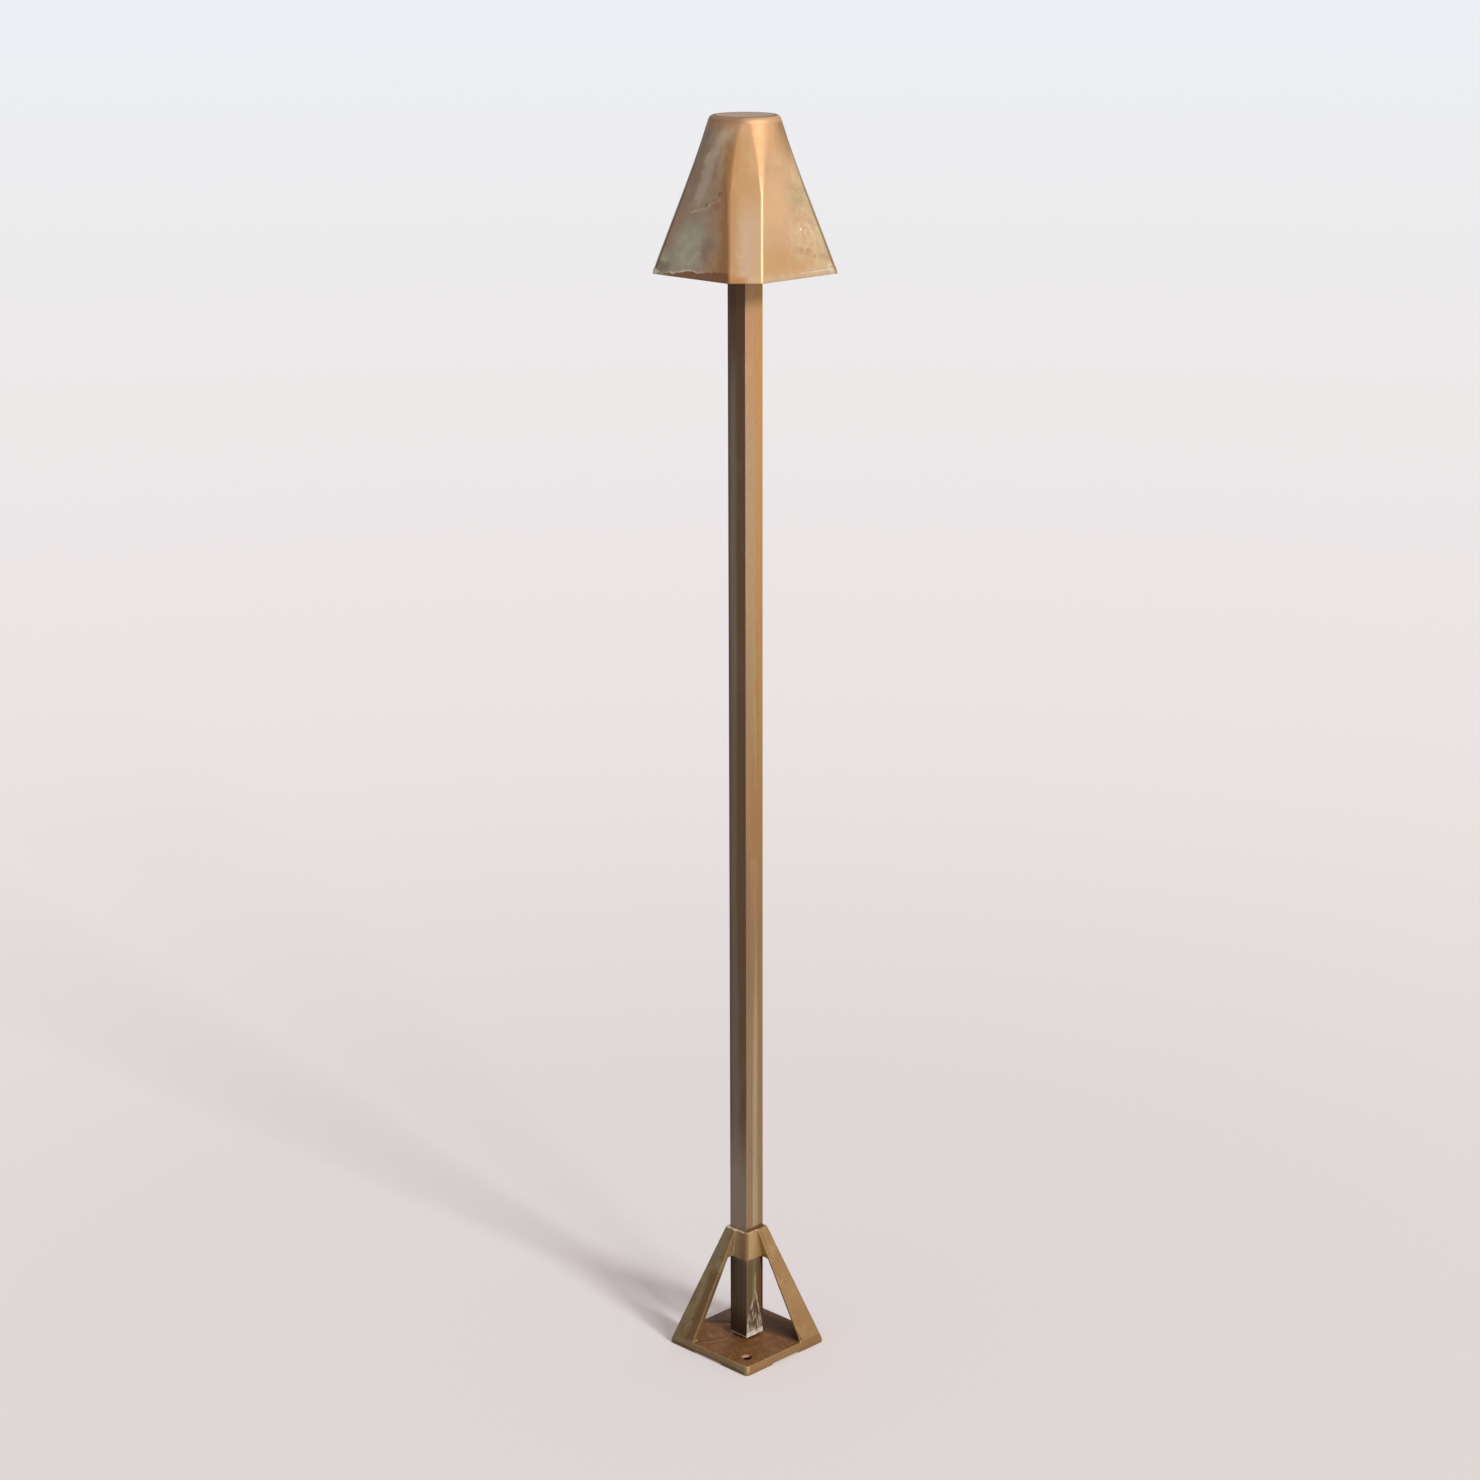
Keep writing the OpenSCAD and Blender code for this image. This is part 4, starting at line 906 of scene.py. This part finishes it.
def build_shade():
    lean = math.atan((SHADE_W / 2 - TOP_R) / SHADE_H)
    shoulder_in = SHOULDER_R * math.tan((math.pi / 2 - lean) / 2)
    flat_r = TOP_R - shoulder_in
    shoulder_t = 1 - shoulder_in * math.cos(lean) / SHADE_H
    ceiling_t = 1 - WALL / SHADE_H
    ceiling_z = SHADE_Z0 + SHADE_H * ceiling_t
    top_z = SHADE_Z0 + SHADE_H
    shares = [1 - (1 - k / LEVELS) ** CROWDING for k in range(LEVELS + 1)]
    rings = [[(0.0, 0.0, ceiling_z)]]
    rings += [round_section(r, ceiling_z) for r in CEILING_RINGS]
    rings.append(shade_section(ceiling_t, WALL))
    inner = [t for t in shares if RIM_R / SHADE_H < t < ceiling_t - CLEAR]
    rings += [shade_section(t, WALL) for t in reversed(inner)]
    # The rim, rounded over from the inner wall to the outer one
    for k in range(RIM_N + 1):
        arc = math.pi / 2 * k / RIM_N
        z = SHADE_Z0 + RIM_R * (1 - math.sin(arc))
        rings.append(shade_section(0.0, WALL - RIM_R * (1 - math.cos(arc)), z))
    for k in range(RIM_N + 1):
        arc = math.pi / 2 * (1 - k / RIM_N)
        z = SHADE_Z0 + RIM_R * (1 - math.sin(arc))
        rings.append(skin_section(0.0, RIM_R * (1 - math.cos(arc)), z))
    outer_start = len(rings)
    rings += [skin_section(t) for t in shares if 1.5 * RIM_R / SHADE_H < t < shoulder_t - CLEAR]
    rings.append(skin_section(shoulder_t))
    lean_deg = math.degrees(lean)
    for k in range(1, SHOULDER_N + 1):
        arc = math.radians(lean_deg + (90 - lean_deg) * k / SHOULDER_N)
        z = top_z - SHOULDER_R * (1 - math.sin(arc))
        rings.append(round_section(flat_r + SHOULDER_R * math.cos(arc), z))
    for k in range(1, CREASE_N + 1):
        arc = math.pi * k / CREASE_N
        z = top_z - CREASE * math.sin(arc)
        rings.append(round_section(flat_r - CREASE * (1 - math.cos(arc)), z))
    rings += [round_section(r, top_z) for r in TOP_RINGS]
    rings.append([(0.0, 0.0, top_z)])

    verts, faces, starts = [], [], []
    for ring in rings:
        starts.append(len(verts))
        verts += ring
    for j in range(len(rings) - 1):
        a, b = starts[j], starts[j + 1]
        na, nb = len(rings[j]), len(rings[j + 1])
        if na == 1:
            faces += [(a, b + (i + 1) % nb, b + i) for i in range(nb)]
        elif nb == 1:
            faces += [(a + i, a + (i + 1) % na, b) for i in range(na)]
        else:
            faces += [(a + i, a + (i + 1) % na, b + (i + 1) % nb, b + i) for i in range(na)]
    verts = np.array(verts)
    # A faint unevenness of the cast and worn metal, always inward, up to twice UNEVEN deep
    for i in range(starts[outer_start], len(verts)):
        x, y, z = verts[i]
        wide, close = (noise.noise(Vector((x / size, y / size, z / size))) for size in (26, 9))
        depth = UNEVEN * (1.0 + max(-1.0, min(1.0, wide + 0.4 * close)))
        reach = math.hypot(x, y)
        if z < top_z - 1.0 and reach > 1:
            verts[i, 0] -= depth * x / reach
            verts[i, 1] -= depth * y / reach
        elif reach < flat_r - 3:
            verts[i, 2] -= depth * 0.6
    mesh = bpy.data.meshes.new("shade_skin")
    mesh.from_pydata([tuple(v) for v in verts * MM], [], faces)
    mesh.update()
    obj = bpy.data.objects.new("shade_skin", mesh)
    bpy.context.scene.collection.objects.link(obj)
    mesh.materials.append(looks["shade_brass"])
    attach(obj, "hood")
    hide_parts("shade")
    mesh.polygons.foreach_set("use_smooth", [True] * len(mesh.polygons))
    bm = bmesh.new()
    bm.from_mesh(mesh)
    bmesh.ops.recalc_face_normals(bm, faces=bm.faces)
    bm.to_mesh(mesh)
    bm.free()
    mesh.set_sharp_from_angle(angle=SHARP)


build_shade()


# ---------------------------------------------------------------- the casting

# In metres: the remeshed grid, doubled points, the ground face's height and half the bore's width
GRID, SAME, GROUND, BORE = 0.0007, 1e-6, 0.002, 0.0135
# How deep half a lump is, and how far an edge stands out where its wear is full
LUMP, FULL_WEAR = 0.16, 0.35
# Rounds of smoothing for the casting's edges, and on from there for what its edges are told by
SOFTEN, SOFTER = 5, 20


def read(items, name, width, kind=float):
    """A property of all of a mesh's points or edges, as rows of that width."""
    values = np.zeros(len(items) * width, dtype=kind)
    items.foreach_get(name, values)
    return values.reshape(-1, width)


def relax(points, edges, degree, rounds):
    """Laplacian smoothing of a mesh's points."""
    for _ in range(rounds):
        total = np.zeros_like(points)
        np.add.at(total, edges[:, 0], points[edges[:, 1]])
        np.add.at(total, edges[:, 1], points[edges[:, 0]])
        points = points + 0.5 * (total / degree[:, None] - points)
    return points


def build_base():
    obj = bpy.data.objects.new("base_skin", nodes["base_casting"].data.copy())
    bpy.context.scene.collection.objects.link(obj)
    bm = bmesh.new()
    bm.from_mesh(obj.data)
    bmesh.ops.remove_doubles(bm, verts=bm.verts, dist=SAME)
    bm.to_mesh(obj.data)
    bm.free()
    grid = obj.modifiers.new("grid", "REMESH")
    grid.mode = "VOXEL"
    grid.voxel_size = GRID
    grid.use_smooth_shade = True
    bpy.context.view_layer.update()
    done = bpy.data.meshes.new_from_object(obj.evaluated_get(bpy.context.evaluated_depsgraph_get()))
    points = read(done.vertices, "co", 3)
    edges = read(done.edges, "vertices", 2, np.int64)
    degree = np.zeros(len(points))
    np.add.at(degree, edges[:, 0], 1)
    np.add.at(degree, edges[:, 1], 1)
    points = relax(points, edges, degree, SOFTEN)
    points[:, 2] = np.maximum(points[:, 2], 0.0)
    soft = relax(points, edges, degree, SOFTER)
    done.vertices.foreach_set("co", points.ravel())
    done.update()
    normals = read(done.vertices, "normal", 3)
    bulge = ((points - soft) * normals).sum(1) / MM
    # Lumps of the casting, always inward; the ground face and the collar's bore stay true
    lumps = np.array([
        noise.noise(Vector(p / MM / 17)) + 0.5 * noise.noise(Vector(p / MM / 5)) for p in points
    ])
    depth = LUMP * (1.0 + np.clip(lumps, -1, 1)) * MM
    depth[points[:, 2] < GROUND] = 0.0
    depth[(np.abs(points[:, 0]) < BORE) & (np.abs(points[:, 1]) < BORE)] = 0.0
    points = points - normals * depth[:, None]
    done.vertices.foreach_set("co", points.ravel())
    for name, values in (("wear", bulge), ("hollowness", -bulge)):
        layer = done.attributes.new(name, "FLOAT", "POINT")
        layer.data.foreach_set("value", np.clip(values / FULL_WEAR, 0, 1).astype(np.float32))
    done.polygons.foreach_set("use_smooth", [True] * len(done.polygons))
    done.update()
    obj.modifiers.clear()
    obj.data = done
    done.name = "base_skin"
    done.materials.clear()
    done.materials.append(looks["cast_brass"])
    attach(obj, "post")
    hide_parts("base_casting")


build_base()


# ---------------------------------------------------------------- the setting

# The light of the sky and of the two lamps. The floor scatters FLOOR_CATCH of it and glows with
# its own colours less FLOOR_LIT, what it scatters where nothing shades it, so that there it shows
# its own colours and is darker in a shadow
AMBIENT, KEY, SIDE = 0.38, 0.70, 0.22
FLOOR_CATCH = (0.75, 0.75, 0.75)
FLOOR_LIT = (0.584, 0.584, 0.584)
FLOOR_R = 120.0  # metres
# The floor's own colours at a distance r from the middle, by r / (r + MIDWAY)
MIDWAY = 3000.0
FLOOR_STOPS = (
    (0.0, (222, 214, 213)), (0.22, (223, 216, 215)), (0.33, (228, 221, 219)),
    (0.45, (233, 227, 226)), (0.58, (236, 230, 231)), (0.68, (236, 233, 233)),
    (0.8, (237, 236, 238)), (0.87, (236, 238, 242)), (0.92, (237, 239, 248)),
)
SKY = FLOOR_STOPS[-1][1]


def floor_material():
    s = Shader("studio_floor")
    radius = root(s.x * s.x + s.y * s.y)
    ramp = s.put("ShaderNodeValToRGB", (radius / (radius + MIDWAY),))
    elements = ramp.color_ramp.elements
    while len(elements) < len(FLOOR_STOPS):
        elements.new(0.5)
    for element, (share, colour) in zip(elements, FLOOR_STOPS):
        element.position = share
        element.color = tint(colour)
    glow = s.put("ShaderNodeEmission", (
        s.put("ShaderNodeVectorMath", (ramp, FLOOR_LIT), operation="SUBTRACT"),
    ))
    catch = s.put("ShaderNodeBsdfDiffuse", ((*FLOOR_CATCH, 1.0),))
    both = s.put("ShaderNodeAddShader", (glow, catch))
    bounce = s.put("ShaderNodeBsdfDiffuse", (tint((206, 200, 198)),))
    pick = s.put("ShaderNodeMixShader", (s.seen(), bounce, both))
    s.put("ShaderNodeOutputMaterial", (pick,))
    return s.mat


bm = bmesh.new()
bmesh.ops.create_circle(bm, cap_ends=True, radius=FLOOR_R, segments=96)
floor_mesh = bpy.data.meshes.new("floor")
bm.to_mesh(floor_mesh)
bm.free()
floor = bpy.data.objects.new("floor", floor_mesh)
bpy.context.scene.collection.objects.link(floor)
floor_mesh.materials.append(floor_material())

world = bpy.data.worlds.new("studio")
bpy.context.scene.world = world
sky = Tree(world)
light = sky.put("ShaderNodeBackground", ((1.0, 1.0, 1.0, 1.0), AMBIENT))
shown = sky.put("ShaderNodeBackground", (tint(SKY), 1.0))
pick = sky.put("ShaderNodeMixShader", (sky.seen(), light, shown))
sky.put("ShaderNodeOutputWorld", (pick,))


def sun(name, azimuth, elevation, strength, spread):
    """A lamp whose light comes from azimuth, measured from -Y towards +X, at that elevation, out
    of a disc as wide as spread; all in degrees."""
    lamp = bpy.data.lights.new(name, "SUN")
    lamp.energy = strength * math.pi
    lamp.angle = math.radians(spread)
    obj = bpy.data.objects.new(name, lamp)
    a, e = math.radians(azimuth), math.radians(elevation)
    source = Vector((math.sin(a) * math.cos(e), -math.cos(a) * math.cos(e), math.sin(e)))
    obj.rotation_euler = source.to_track_quat("Z", "Y").to_euler()
    obj.location = source * 5
    bpy.context.scene.collection.objects.link(obj)


sun("key", 86.0, 25.5, KEY, 11.0)
sun("side", 73.5, 27.0, SIDE, 11.0)

# The camera that was fitted to the photo: its place in metres, and its turn in degrees
CAMERA_AT = (2.25814, -2.26663, 1.5957)
TURN, TILT, ROLL = 45.0, 90.0 - 15.903, -0.121

camera_data = bpy.data.cameras.new("camera")
camera = bpy.data.objects.new("camera", camera_data)
bpy.context.scene.collection.objects.link(camera)
bpy.context.scene.camera = camera
camera_data.sensor_fit = "HORIZONTAL"
camera_data.sensor_width = 36.0
camera_data.lens = 78.14
camera_data.clip_end = 400.0
camera.matrix_world = (
    Matrix.Translation(CAMERA_AT)
    @ Matrix.Rotation(math.radians(TURN), 4, "Z")
    @ Matrix.Rotation(math.radians(TILT), 4, "X")
    @ Matrix.Rotation(math.radians(ROLL), 4, "Z")
)

bpy.context.scene.view_settings.view_transform = "Standard"
